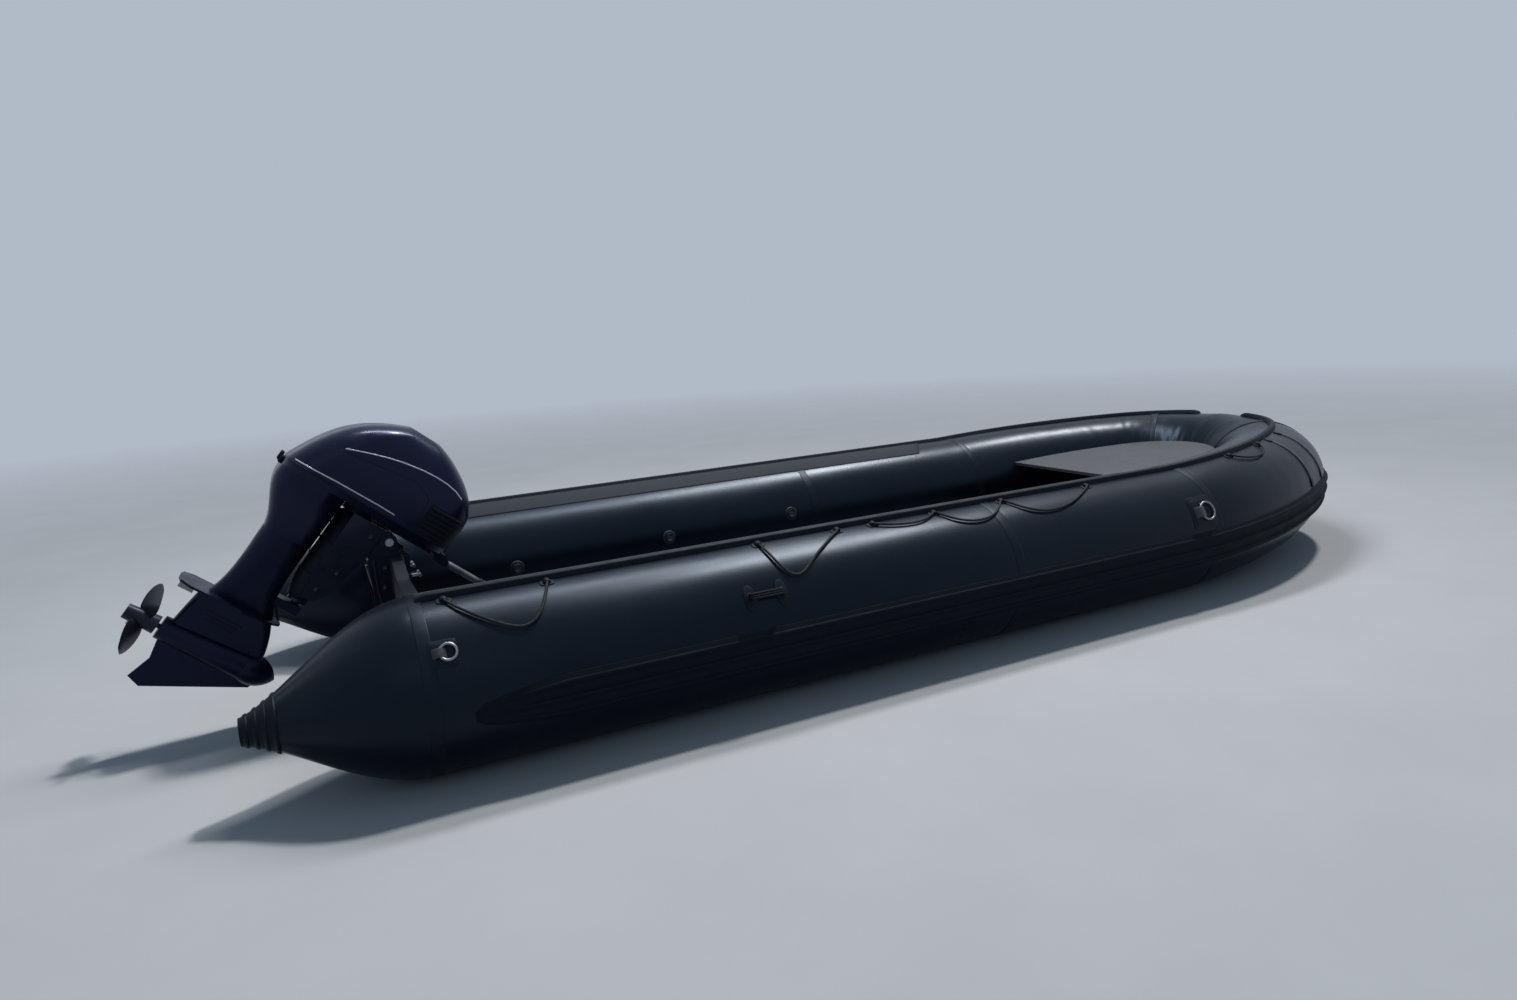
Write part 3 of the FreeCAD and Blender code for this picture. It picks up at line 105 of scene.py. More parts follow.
def tube_frame(station):
    """Matrix on the port tube's axis: X forward, Y outboard, Z up, a station forward of the cone's base."""
    if station <= STRAIGHT_RUN:
        centre = Vector((STERN_X + CONE_LENGTH + station, TUBE_OFFSET, TUBE_RADIUS))
        forward, outboard, up = Vector((1, 0, 0)), Vector((0, 1, 0)), Vector((0, 0, 1))
    elif station <= BOW_START:
        turn = (station - STRAIGHT_RUN) / SHEER_RADIUS
        rise = SHEER_RADIUS * (1 - math.cos(turn))
        centre = Vector((STERN_X + STRAIGHT_END + SHEER_RADIUS * math.sin(turn), TUBE_OFFSET, TUBE_RADIUS + rise))
        forward, outboard = Vector((math.cos(turn), 0, math.sin(turn))), Vector((0, 1, 0))
        up = Vector((-math.sin(turn), 0, math.cos(turn)))
    else:
        ahead = Vector((math.cos(SHEER_ANGLE), 0, math.sin(SHEER_ANGLE)))
        up = Vector((-math.sin(SHEER_ANGLE), 0, math.cos(SHEER_ANGLE)))
        port = Vector((0, 1, 0))
        start = Vector((STERN_X + SHEER_END, TUBE_OFFSET, TUBE_RADIUS + SHEER_RISE))
        turn = min(station, QUARTER_RUN) - BOW_START
        turn /= QUARTER_RADIUS
        outboard = ahead * math.sin(turn) + port * math.cos(turn)
        centre = start - port * QUARTER_RADIUS + outboard * QUARTER_RADIUS
        if station > QUARTER_RUN:
            bend_centre = centre - outboard * NOSE_BEND_RADIUS
            turn += (station - QUARTER_RUN) / NOSE_BEND_RADIUS
            outboard = ahead * math.sin(turn) + port * math.cos(turn)
            centre = bend_centre + outboard * NOSE_BEND_RADIUS
        forward = ahead * math.cos(turn) - port * math.sin(turn)
    matrix = Matrix((forward, outboard, up)).transposed().to_4x4()
    matrix.translation = centre
    return matrix


def hull_ring(station):
    """Matrix and radius of the tube, or of the tail cone where the station is negative."""
    if station >= 0:
        return tube_frame(station), TUBE_RADIUS
    x = CONE_LENGTH + station
    growth = math.sin(min(x / CONE_LENGTH, 1.0) * math.pi / 2) ** CONE_FULLNESS
    height = CONE_TIP_HEIGHT + (TUBE_RADIUS - CONE_TIP_HEIGHT) * growth
    matrix = Matrix.Translation((STERN_X + x, TUBE_OFFSET, height))
    return matrix, CONE_TIP_RADIUS + (TUBE_RADIUS - CONE_TIP_RADIUS) * growth


def tube_point(station, degrees, lift=0.0):
    matrix, radius = hull_ring(station)
    angle = math.radians(degrees)
    reach = radius + lift
    return matrix @ Vector((0, reach * math.cos(angle), reach * math.sin(angle)))


def seat(station, degrees):
    """Matrix on the port tube's surface: X forward, Z away from it."""
    matrix, radius = hull_ring(station)
    turn = Matrix.Rotation(math.radians(degrees - 90), 4, "X")
    return matrix @ turn @ Matrix.Translation((0, 0, radius))


def spread(first, last, step):
    count = max(1, round((last - first) / step))
    return [first + (last - first) * index / count for index in range(count + 1)]


# Meshes


def make_object(name, verts, faces, smooth=True):
    mesh = bpy.data.meshes.new(name)
    mesh.from_pydata([tuple(v) for v in verts], [], faces)
    mesh.validate()
    form = bmesh.new()
    form.from_mesh(mesh)
    bmesh.ops.recalc_face_normals(form, faces=form.faces)
    form.to_mesh(mesh)
    form.free()
    mesh.update()
    for polygon in mesh.polygons:
        polygon.use_smooth = smooth
    piece = bpy.data.objects.new(name, mesh)
    bpy.context.scene.collection.objects.link(piece)
    return piece


def mirrored(verts, faces):
    """The same form on the starboard side."""
    return [Vector((v.x, -v.y, v.z)) for v in verts], [tuple(reversed(face)) for face in faces]


def joined(parts):
    """Joins (verts, faces) pairs."""
    verts, faces = [], []
    for part_verts, part_faces in parts:
        base = len(verts)
        verts += part_verts
        faces += [tuple(index + base for index in face) for face in part_faces]
    return verts, faces


def both_sides(parts):
    port = joined(parts)
    return joined([port, mirrored(*port)])


def skin(rings, closed_ring=True, caps=True):
    """Faces between rings of points, each ring as long as the others."""
    count = len(rings[0])
    verts = [point for ring in rings for point in ring]
    faces = []
    last = count if closed_ring else count - 1
    for row in range(len(rings) - 1):
        for column in range(last):
            a = row * count + column
            b = row * count + (column + 1) % count
            faces.append((a, b, b + count, a + count))
    if caps:
        faces.append(tuple(reversed(range(count))))
        faces.append(tuple(range(len(verts) - count, len(verts))))
    return verts, faces


def swept(profile, stations):
    """A profile of (degrees round the tube, lift) swept along the port tube."""
    rings = []
    for station in stations:
        rings.append([tube_point(station, degrees, lift) for degrees, lift in profile])
    return skin(rings)


def lathe(profile, matrix, steps=32, hollow=False):
    """Turns a profile of (radius, height) round the matrix's Z; a hollow one closes on its first point."""
    if hollow:
        profile = profile + profile[:1]
    rings = []
    for radius, height in profile:
        ring = []
        for index in range(steps):
            angle = 2 * math.pi * index / steps
            ring.append(matrix @ Vector((radius * math.cos(angle), radius * math.sin(angle), height)))
        rings.append(ring)
    return skin(rings, caps=not hollow)


def rounded_box(low, high, matrix, bevel):
    """A box with all edges cut once, placed by the matrix."""
    centre = [(a + b) / 2 for a, b in zip(low, high)]
    half = [(b - a) / 2 for a, b in zip(low, high)]
    outline = []
    for sx, sy in ((1, 1), (-1, 1), (-1, -1), (1, -1)):
        flat = [(sx * half[0], sy * (half[1] - bevel)), (sx * (half[0] - bevel), sy * half[1])]
        outline += flat if sx * sy > 0 else list(reversed(flat))
    rings = []
    for height, inset in ((-half[2], bevel), (-half[2] + bevel, 0), (half[2] - bevel, 0), (half[2], bevel)):
        ring = []
        for x, y in outline:
            scale_x = (half[0] - inset) / half[0]
            scale_y = (half[1] - inset) / half[1]
            ring.append(matrix @ Vector((centre[0] + x * scale_x, centre[1] + y * scale_y, centre[2] + height)))
        rings.append(ring)
    return skin(rings)


# Materials


class Shader:
    """A material's nodes, with short calls for the ones used here."""

    def __init__(self, name):
        self.material = bpy.data.materials.new(name)
        self.material.use_nodes = True
        self.nodes = self.material.node_tree.nodes
        self.links = self.material.node_tree.links
        self.bsdf = self.nodes["Principled BSDF"]
        self.coords = self.nodes.new("ShaderNodeTexCoord").outputs["Object"]

    def link(self, output, target):
        self.links.new(output, target)

    def set(self, **values):
        for key, value in values.items():
            self.bsdf.inputs[key.replace("_", " ")].default_value = value

    def stretched(self, scale):
        mapping = self.nodes.new("ShaderNodeMapping")
        mapping.inputs["Scale"].default_value = scale
        self.link(self.coords, mapping.inputs["Vector"])
        return mapping.outputs["Vector"]

    def noise(self, scale, detail=4.0, roughness=0.5, vector=None):
        node = self.nodes.new("ShaderNodeTexNoise")
        node.inputs["Scale"].default_value = scale
        node.inputs["Detail"].default_value = detail
        node.inputs["Roughness"].default_value = roughness
        self.link(vector or self.coords, node.inputs["Vector"])
        return node.outputs["Fac"]

    def cells(self, scale, vector=None):
        node = self.nodes.new("ShaderNodeTexVoronoi")
        node.inputs["Scale"].default_value = scale
        self.link(vector or self.coords, node.inputs["Vector"])
        return node.outputs["Distance"]

    def wave(self, scale, direction):
        node = self.nodes.new("ShaderNodeTexWave")
        node.bands_direction = direction
        node.inputs["Scale"].default_value = scale
        self.link(self.coords, node.inputs["Vector"])
        return node.outputs["Fac"]

    def ramp(self, factor, stops):
        """A colour between two stops of (place, colour)."""
        node = self.nodes.new("ShaderNodeValToRGB")
        for element, (place, color) in zip(node.color_ramp.elements, stops):
            element.position = place
            element.color = (*color, 1.0)
        self.link(factor, node.inputs["Fac"])
        return node.outputs["Color"]

    def ranged(self, factor, low, high, from_low, from_high):
        node = self.nodes.new("ShaderNodeMapRange")
        node.inputs["From Min"].default_value = from_low
        node.inputs["From Max"].default_value = from_high
        node.inputs["To Min"].default_value = low
        node.inputs["To Max"].default_value = high
        self.link(factor, node.inputs["Value"])
        return node.outputs["Result"]

    def math(self, operation, first, second):
        node = self.nodes.new("ShaderNodeMath")
        node.operation = operation
        for socket, value in zip(node.inputs, (first, second)):
            if isinstance(value, (int, float)):
                socket.default_value = value
            else:
                self.link(value, socket)
        return node.outputs["Value"]

    def mix(self, factor, first, second):
        node = self.nodes.new("ShaderNodeMix")
        node.data_type = "RGBA"
        for socket, value in ((node.inputs[0], factor), (node.inputs[6], first), (node.inputs[7], second)):
            if isinstance(value, (int, float)):
                socket.default_value = value
            elif isinstance(value, tuple):
                socket.default_value = (*value, 1.0)
            else:
                self.link(value, socket)
        return node.outputs[2]

    def bump(self, height, strength, distance, below=None):
        node = self.nodes.new("ShaderNodeBump")
        node.inputs["Strength"].default_value = strength
        node.inputs["Distance"].default_value = distance
        self.link(height, node.inputs["Height"])
        if below is not None:
            self.link(below, node.inputs["Normal"])
        return node.outputs["Normal"]

    def color(self, value):
        self.link(value, self.bsdf.inputs["Base Color"])

    def roughness(self, value):
        self.link(value, self.bsdf.inputs["Roughness"])

    def normal(self, value):
        self.link(value, self.bsdf.inputs["Normal"])


def tube_fabric_material():
    """Rubberised fabric: satin black with a slight blue, a fine weave, scuffs and dust."""
    shader = Shader("tube_fabric")
    patches = shader.noise(2.2, 5.0, 0.6)
    dust = shader.noise(24.0, 5.0, 0.58, shader.stretched((0.35, 1.0, 1.0)))
    base = shader.ramp(patches, [(0.32, (0.0022, 0.0040, 0.0078)), (0.62, (0.0044, 0.0070, 0.0118))])
    dusty = shader.ranged(dust, 0.0, 0.30, 0.58, 0.84)
    shader.color(shader.mix(dusty, base, (0.016, 0.019, 0.024)))
    wear = shader.noise(5.0, 5.0, 0.52, shader.stretched((0.4, 1.0, 1.0)))
    shader.roughness(shader.ranged(wear, 0.27, 0.35, 0.35, 0.70))
    weave = shader.math("MULTIPLY", shader.wave(330.0, "X"), shader.wave(330.0, "Z"))
    grain = shader.bump(weave, 0.10, 0.0004)
    waves = shader.noise(5.0, 3.0, 0.42, shader.stretched((0.5, 1.0, 1.0)))
    shader.normal(shader.bump(waves, 0.10, 0.010, grain))
    shader.set(Specular_IOR_Level=0.23, Specular_Tint=(0.52, 0.70, 0.94, 1.0))
    return shader.material


def plain_material(name, tone, dark, light, rough, relief=None, dark_to=0.3, **values):
    """A material of one noise for its tones and roughness; a relief is a noise or None, strength and distance."""
    shader = Shader(name)
    factor = shader.noise(*tone)
    shader.color(shader.ramp(factor, [(dark_to, dark), (0.7, light)]))
    shader.roughness(shader.ranged(factor, *rough, 0.3, 0.7))
    if relief:
        grain, strength, distance = relief
        shader.normal(shader.bump(shader.noise(*grain) if grain else factor, strength, distance))
    shader.set(**values)
    return shader.material


def tape_material():
    return plain_material(
        "seam_tape", (12.0, 5.0, 0.6), (0.0030, 0.0048, 0.0080), (0.0060, 0.0084, 0.0125), (0.34, 0.46),
        ((160.0, 3.0), 0.12, 0.0006), Specular_IOR_Level=0.22, Specular_Tint=(0.50, 0.70, 0.95, 1.0),
    )


def moulded_rubber_material():
    return plain_material(
        "moulded_rubber", (18.0, 6.0, 0.6), (0.0026, 0.0034, 0.0048), (0.0072, 0.0084, 0.0108), (0.50, 0.68),
        ((420.0, 3.0), 0.15, 0.0005), dark_to=0.32, Specular_IOR_Level=0.20, Specular_Tint=(0.55, 0.75, 1.0, 1.0),
    )


def strake_material():
    """Dull extruded rubber, scuffed along its ridges."""
    shader = Shader("strake_rubber")
    tone = shader.noise(14.0, 6.0, 0.62)
    scuff = shader.noise(60.0, 5.0, 0.6, shader.stretched((0.3, 1.0, 1.0)))
    base = shader.ramp(tone, [(0.32, (0.0030, 0.0040, 0.0060)), (0.70, (0.0060, 0.0076, 0.0105))])
    shader.color(shader.mix(shader.ranged(scuff, 0.0, 0.6, 0.60, 0.80), base, (0.020, 0.022, 0.026)))
    shader.roughness(shader.ranged(tone, 0.62, 0.80, 0.3, 0.7))
    shader.normal(shader.bump(shader.noise(300.0, 3.0), 0.12, 0.0005))
    shader.set(Specular_IOR_Level=0.16, Specular_Tint=(0.50, 0.72, 1.0, 1.0))
    return shader.material


def grip_fabric_material():
    """Matt grey anti-slip strip with fine ribs along it and trodden-in dust."""
    shader = Shader("grip_fabric")
    tone = shader.noise(6.0, 6.0, 0.6)
    speck = shader.cells(220.0)
    base = shader.ramp(tone, [(0.30, (0.018, 0.020, 0.023)), (0.72, (0.032, 0.035, 0.039))])
    shader.color(shader.mix(shader.ranged(speck, 0.35, 0.0, 0.0, 0.5), base, (0.012, 0.013, 0.015)))
    shader.roughness(shader.ranged(tone, 0.72, 0.88, 0.3, 0.7))
    ribs = shader.wave(140.0, "Y")
    shader.normal(shader.bump(speck, 0.35, 0.0008, shader.bump(ribs, 0.25, 0.0008)))
    shader.set(Specular_IOR_Level=0.25, Specular_Tint=(0.70, 0.82, 1.0, 1.0))
    return shader.material


def bottom_material():
    return plain_material(
        "bottom_fabric", (5.0, 6.0, 0.65), (0.012, 0.013, 0.014), (0.030, 0.031, 0.032), (0.50, 0.70),
        ((9.0, 4.0), 0.4, 0.012),
    )


def steel_material(name, low, high):
    """Scratched steel, a little blue in both of its tones."""
    shader = Shader(name)
    scratches = shader.noise(60.0, 5.0, 0.6, shader.stretched((8.0, 1.0, 1.0)))
    dark, light = ((tone, tone * 1.02, tone * 1.05) for tone in (low, high))
    shader.color(shader.ramp(scratches, [(0.3, dark), (0.7, light)]))
    shader.roughness(shader.ranged(scratches, 0.24, 0.42, 0.3, 0.7))
    shader.set(Metallic=1.0)
    return shader.material


def plastic_material():
    return plain_material(
        "valve_plastic", (50.0, 4.0), (0.013, 0.015, 0.018), (0.027, 0.030, 0.035), (0.38, 0.55),
        ((700.0, 2.0), 0.10, 0.0004), Specular_IOR_Level=0.35, Specular_Tint=(0.62, 0.78, 1.0, 1.0),
    )


def aluminium_material():
    """Floor sheet with small raised bars, dulled by dirt and use."""
    shader = Shader("floor_aluminium")
    bars = shader.cells(46.0, shader.stretched((1.0, 2.2, 1.0)))
    dirt = shader.noise(4.0, 7.0, 0.68)
    base = shader.ramp(dirt, [(0.25, (0.105, 0.110, 0.116)), (0.75, (0.165, 0.170, 0.176))])
    raised = shader.ranged(bars, 1.0, 0.0, 0.12, 0.30)
    shader.color(shader.mix(shader.math("MULTIPLY", raised, 0.45), base, (0.22, 0.225, 0.23)))
    shader.roughness(shader.ranged(dirt, 0.50, 0.66, 0.3, 0.7))
    shader.normal(shader.bump(raised, 0.5, 0.0012))
    shader.set(Metallic=0.35)
    return shader.material


def transom_material():
    return plain_material(
        "transom_board", (8.0, 6.0, 0.6), (0.005, 0.006, 0.009), (0.011, 0.013, 0.017), (0.46, 0.64),
        ((120.0, 3.0), 0.15, 0.0008), Specular_IOR_Level=0.20, Specular_Tint=(0.55, 0.72, 1.0, 1.0),
    )


def platform_material():
    """Grey textured board, scuffed along its middle."""
    shader = Shader("platform_board")
    tone = shader.noise(5.0, 7.0, 0.62)
    scuff = shader.noise(28.0, 6.0, 0.65, shader.stretched((1.0, 3.0, 1.0)))
    base = shader.ramp(tone, [(0.3, (0.030, 0.034, 0.042)), (0.7, (0.054, 0.060, 0.071))])
    shader.color(shader.mix(shader.ranged(scuff, 0.0, 0.8, 0.50, 0.72), base, (0.016, 0.018, 0.024)))
    shader.roughness(shader.ranged(tone, 0.52, 0.70, 0.3, 0.7))
    shader.normal(shader.bump(shader.cells(260.0), 0.30, 0.0008))
    return shader.material


def rope_material():
    """Braided rope: small slanted ridges round it."""
    shader = Shader("rope")
    braid = shader.cells(320.0, shader.stretched((0.5, 1.0, 1.0)))
    tone = shader.noise(40.0, 4.0)
    shader.color(shader.ramp(tone, [(0.3, (0.004, 0.005, 0.007)), (0.7, (0.012, 0.014, 0.017))]))
    shader.roughness(shader.ranged(tone, 0.55, 0.75, 0.3, 0.7))
    shader.normal(shader.bump(braid, 0.7, 0.0014))
    shader.set(Specular_IOR_Level=0.25)
    return shader.material


def gloss_paint_material(name, low, high, rough, coat):
    """Near-black gloss paint with faint orange peel and a clear coat."""
    shader = Shader(name)
    tone = shader.noise(3.0, 4.0)
    shader.color(shader.ramp(tone, [(0.3, low), (0.7, high)]))
    smear = shader.noise(16.0, 5.0, 0.6)
    shader.roughness(shader.ranged(smear, rough, rough + 0.12, 0.35, 0.70))
    shader.normal(shader.bump(shader.noise(260.0, 2.0), 0.03, 0.0006))
    shader.set(Coat_Weight=coat, Coat_Roughness=0.07)
    shader.set(Specular_IOR_Level=0.30, Specular_Tint=(0.45, 0.55, 1.0, 1.0))
    return shader.material


def casting_material():
    return plain_material(
        "casting_paint", (14.0, 5.0, 0.6), (0.0032, 0.0042, 0.0135), (0.0062, 0.0078, 0.0200), (0.26, 0.44),
        ((90.0, 3.0), 0.06, 0.0010), Specular_IOR_Level=0.28, Specular_Tint=(0.45, 0.55, 1.0, 1.0),
    )


def anode_material():
    return plain_material(
        "anode", (70.0, 6.0, 0.7), (0.30, 0.30, 0.29), (0.50, 0.50, 0.48), (0.55, 0.80), (None, 0.4, 0.0012),
        Metallic=0.7,
    )


def webbing_material():
    """Woven strap: fine cross ribs on near-black yarn."""
    shader = Shader("webbing")
    tone = shader.noise(26.0, 5.0, 0.6)
    shader.color(shader.ramp(tone, [(0.3, (0.010, 0.012, 0.015)), (0.7, (0.026, 0.029, 0.034))]))
    shader.roughness(shader.ranged(tone, 0.56, 0.76, 0.3, 0.7))
    ribs = shader.wave(260.0, "X")
    shader.normal(shader.bump(ribs, 0.45, 0.0007, shader.bump(shader.noise(600.0, 2.0), 0.3, 0.0005)))
    shader.set(Sheen_Weight=0.15)
    return shader.material


def stripe_material():
    return plain_material(
        "cowl_stripe", (30.0, 4.0), (0.50, 0.53, 0.58), (0.66, 0.69, 0.74), (0.26, 0.36), Metallic=0.35
    )


def matte_plastic_material():
    return plain_material(
        "matte_plastic", (24.0, 5.0, 0.6), (0.0045, 0.0050, 0.0065), (0.0095, 0.0105, 0.0130), (0.52, 0.70),
        ((520.0, 3.0), 0.15, 0.0005), Specular_IOR_Level=0.22, Specular_Tint=(0.52, 0.66, 1.0, 1.0),
    )


def grey_paint_material():
    """Bare grey casting paint, a little uneven in tone."""
    return plain_material(
        "grey_paint", (22.0, 6.0, 0.62), (0.075, 0.085, 0.100), (0.16, 0.17, 0.19), (0.34, 0.52),
        ((240.0, 3.0), 0.10, 0.0006), Metallic=0.3,
    )


def cast_iron_material():
    return plain_material(
        "engine_mass", (40.0, 5.0), (0.05, 0.05, 0.05), (0.09, 0.09, 0.09), (0.5, 0.7), (None, 0.4, 0.001)
    )


MATERIALS = {
    "tube_fabric": tube_fabric_material(),
    "bottom_fabric": bottom_material(),
    "moulded_rubber": moulded_rubber_material(),
    "grip_fabric": grip_fabric_material(),
    "fitting_metal": steel_material("fitting_metal", 0.16, 0.30),
    "valve_plastic": plastic_material(),
    "floor_aluminium": aluminium_material(),
    "transom_board": transom_material(),
    "platform_board": platform_material(),
    "rope": rope_material(),
    "bracket_paint": gloss_paint_material("bracket_paint", (0.010, 0.012, 0.018), (0.020, 0.023, 0.032), 0.26, 0.2),
    "bright_steel": steel_material("bright_steel", 0.42, 0.60),
    "cowl_paint": gloss_paint_material("cowl_paint", (0.0026, 0.0032, 0.0150), (0.0044, 0.0052, 0.0230), 0.24, 0.10),
    "casting_paint": casting_material(),
    "engine_mass": cast_iron_material(),
    "anode": anode_material(),
    "propeller_paint": gloss_paint_material("propeller_paint", (0.008, 0.009, 0.012), (0.018, 0.019, 0.022), 0.34, 0.1),
    "tiller_rubber": moulded_rubber_material(),
}
TAPE = tape_material()
STRAKE_RUBBER = strake_material()
WEBBING = webbing_material()
STRIPE = stripe_material()
MATTE = matte_plastic_material()
GREY_PAINT = grey_paint_material()

# CAD nodes with machined or sheared edges, and how far each edge is eased
EASED_NODES = {
    "clamp_bracket_port": 0.0020, "clamp_bracket_starboard": 0.0020, "swivel_bracket": 0.0025,
    "steer_bracket": 0.0030, "gearcase": 0.0012, "trim_tab": 0.0020, "transom": 0.0040, "transom_pad": 0.0015,
    "bow_platform": 0.0030, "floor_panels": 0.0020, "floor_stringers": 0.0040, "tilt_cylinder": 0.0015,
    "clamp_screws": 0.0012, "transom_drains": 0.0025,
}
EASE_LIMIT = math.radians(38)


def ease_edges():
    for name, width in EASED_NODES.items():
        modifier = frame["nodes"][name].modifiers.new("eased_edges", "BEVEL")
        modifier.width = width
        modifier.segments = 2
        modifier.limit_method = "ANGLE"
        modifier.angle_limit = EASE_LIMIT


def dress_cad_nodes():
    """Gives every CAD node the material of its record slot."""
    slots = {part["node"]: part["material_slot"] for part in frame["record"]["subparts"]}
    for name, node in frame["nodes"].items():
        node.data.materials.clear()
        node.data.materials.append(MATERIALS[slots[name]])


def finish_piece(piece, slot, body="hull", material=None, replaces=()):
    piece.data.materials.append(material or MATERIALS[slot])
    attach(piece, body)
    if replaces:
        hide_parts(*replaces)


# Tubes

RING_STEPS = 128
SEAM_STATIONS = [0.0, 2.350, BOW_START, BOW_START + 1.45]
SEAM_DIP = 0.0010
SEAM_DIP_REACH = 0.030
NOSE_FADE = 0.12
DENT_DEPTH = 0.0034
FOLD_DEPTH = 0.0034
FOLD_LENGTH = 0.105


def clamp01(value):
    return min(1.0, max(0.0, value))


def ramp01(value, low, high):
    share = clamp01((value - low) / (high - low))
    return share * share * (3 - 2 * share)


def skin_dent(station, degrees, side):
    """How far the fabric lies inside the solid tube: seams, soft dents, and folds on the inside of the bow."""
    dip = 0.0
    for seam in SEAM_STATIONS:
        near = abs(station - seam) / SEAM_DIP_REACH
        if near < 1:
            dip = max(dip, SEAM_DIP * (1 - near * near))
    calm = 1 - ramp01(station, PATH_LENGTH - NOSE_FADE, PATH_LENGTH)
    angle = math.radians(degrees)
    place = Vector((station * 3.1 + side * 7.3, math.cos(angle) * 1.1, math.sin(angle) * 1.1))
    soft = 0.5 + 0.5 * noise.noise(place)
    bow = ramp01(station, BOW_START + 0.1, BOW_START + 1.1)
    dents = DENT_DEPTH * (0.25 + 0.75 * bow) * soft
    fine = Vector((station * 12.0, math.cos(angle) * 2.2 + side * 3.7, math.sin(angle) * 2.2))
    ripple = 0.5 + 0.5 * noise.noise(fine)
    dents += 0.0026 * bow * ripple
    inner = clamp01(-math.cos(angle)) ** 1.5
    wander = 0.9 * noise.noise(Vector((station * 5.0, side * 5.0, degrees * 0.02)))
    depth = 0.45 + 0.55 * noise.noise(Vector((station * 3.3, side * 2.0, degrees * 0.011)))
    fold = 0.5 + 0.5 * math.cos(2 * math.pi * (station / FOLD_LENGTH + wander))
    dents += FOLD_DEPTH * bow * inner * max(depth, 0.0) * fold
    if station < 0:
        pucker = 0.5 + 0.5 * math.cos(angle * 11 + 2.0 * noise.noise(Vector((angle * 2, station * 4, side))))
        near_tip = ramp01(-station, 0.05, CONE_LENGTH - CAP_LENGTH)
        dents += 0.0022 * near_tip * pucker
    return dip + dents * calm


def tube_skin(name, side, cad_nodes):
    stations = spread(CAP_LENGTH - CONE_LENGTH, 0.0, 0.022)[:-1] + spread(0.0, BOW_START, 0.03)[:-1]
    stations += spread(BOW_START, PATH_LENGTH, 0.0105)
    rings = []
    for station in stations:
        ring = []
        for step in range(RING_STEPS):
            degrees = 360.0 * step / RING_STEPS
            ring.append(tube_point(station, degrees, -skin_dent(station, degrees, side)))
        rings.append(ring)
    verts, faces = skin(rings, caps=False)
    if side < 0:
        verts, faces = mirrored(verts, faces)
    finish_piece(make_object(name, verts, faces), "tube_fabric", replaces=cad_nodes)


def make_tubes():
    for word, side in (("port", 1), ("starboard", -1)):
        nodes = [form + "_" + word for form in ("side_tube", "bow_tube", "tail_cone")]
        tube_skin("tube_skin_" + word, side, nodes)


TAPE_HALF = 0.022
TAPE_EASE = 0.003
TAPE_LIFT = 0.0005
TAPE_BASE = STRIP_BASE = -0.004


def tape_band(station, section):
    """A seam tape right round the tube, from a section of (offset from the station, lift)."""
    rings = []
    for offset, lift in section:
        rings.append([tube_point(station + offset, 360.0 * step / RING_STEPS, lift) for step in range(RING_STEPS)])
    return skin(rings, caps=False)


def make_tapes():
    """Tapes round the tubes at their seams and at the nose, and one along the bottom's edge."""
    half, edge = TAPE_HALF, TAPE_LIFT * 0.4
    section = [
        (-half, TAPE_BASE), (-half, edge), (-half + TAPE_EASE, TAPE_LIFT),
        (half - TAPE_EASE, TAPE_LIFT), (half, edge), (half, TAPE_BASE),
    ]
    bands = [tape_band(station, section) for station in SEAM_STATIONS]
    nose = [(-0.024, TAPE_BASE), (-0.024, TAPE_LIFT), (-0.021, TAPE_LIFT), (0.0, TAPE_LIFT)]
    bands.append(tape_band(PATH_LENGTH, nose))
    bands.append(swept(strip_profile(240.0, 249.0, 0.0012), spread(0.0, PATH_LENGTH - 0.02, 0.03)))
    finish_piece(make_object("seam_tapes", *both_sides(bands)), "tube_fabric", material=TAPE)


def strip_profile(first, last, thickness, edge=0.35, steps=14):
    """A thin band's section with eased edges, from its base under the surface."""
    profile = [(first, STRIP_BASE), (first, thickness * 0.45), (first + edge, thickness)]
    for index in range(1, steps):
        profile.append((first + edge + (last - first - 2 * edge) * index / steps, thickness))
    profile += [(last - edge, thickness), (last, thickness * 0.45), (last, STRIP_BASE)]
    return list(reversed(profile))


# Bottom and keel

BOTTOM_SEAM_ANGLE = 244.0
BOTTOM_LAP = 0.060
BOTTOM_START = 0.005
BOTTOM_SHEET, BOTTOM_WAVE = 0.0024, 0.0022
BOTTOM_COLUMNS = 48
KEEL_CLEARANCE = 0.001
BOTTOM_BOW_SECTIONS = [(0.0, 1.0), (0.2, 1.0), (0.4, 0.9), (0.6, 0.8), (0.8, 0.6), (0.92, 0.4)]
KEEL_START, KEEL_END = STERN_X + 0.616, STERN_X + 4.000
KEEL_RADIUS, KEEL_AXIS, KEEL_DENT = 0.0604, 0.0670, 0.0020


def bottom_sections():
    """X, half width, edge height and middle height of the bottom's sections, as the solid has them."""
    stations = [(BOTTOM_START, 1.0), (STRAIGHT_RUN, 1.0)]
    stations += [(BOW_START + share * (PATH_LENGTH - BOW_START), depth) for share, depth in BOTTOM_BOW_SECTIONS]
    angle = math.radians(BOTTOM_SEAM_ANGLE)
    reach = TUBE_RADIUS + SEAT
    seam = Vector((0, reach * math.cos(angle), reach * math.sin(angle)))
    drop = (tube_frame(0) @ seam).z - KEEL_CLEARANCE
    sections = []
    for station, depth in stations:
        edge = tube_frame(station) @ (seam + Vector((0, BOTTOM_LAP, 0)))
        sections.append((edge.x, edge.y, edge.z, edge.z - depth * drop))
    return sections


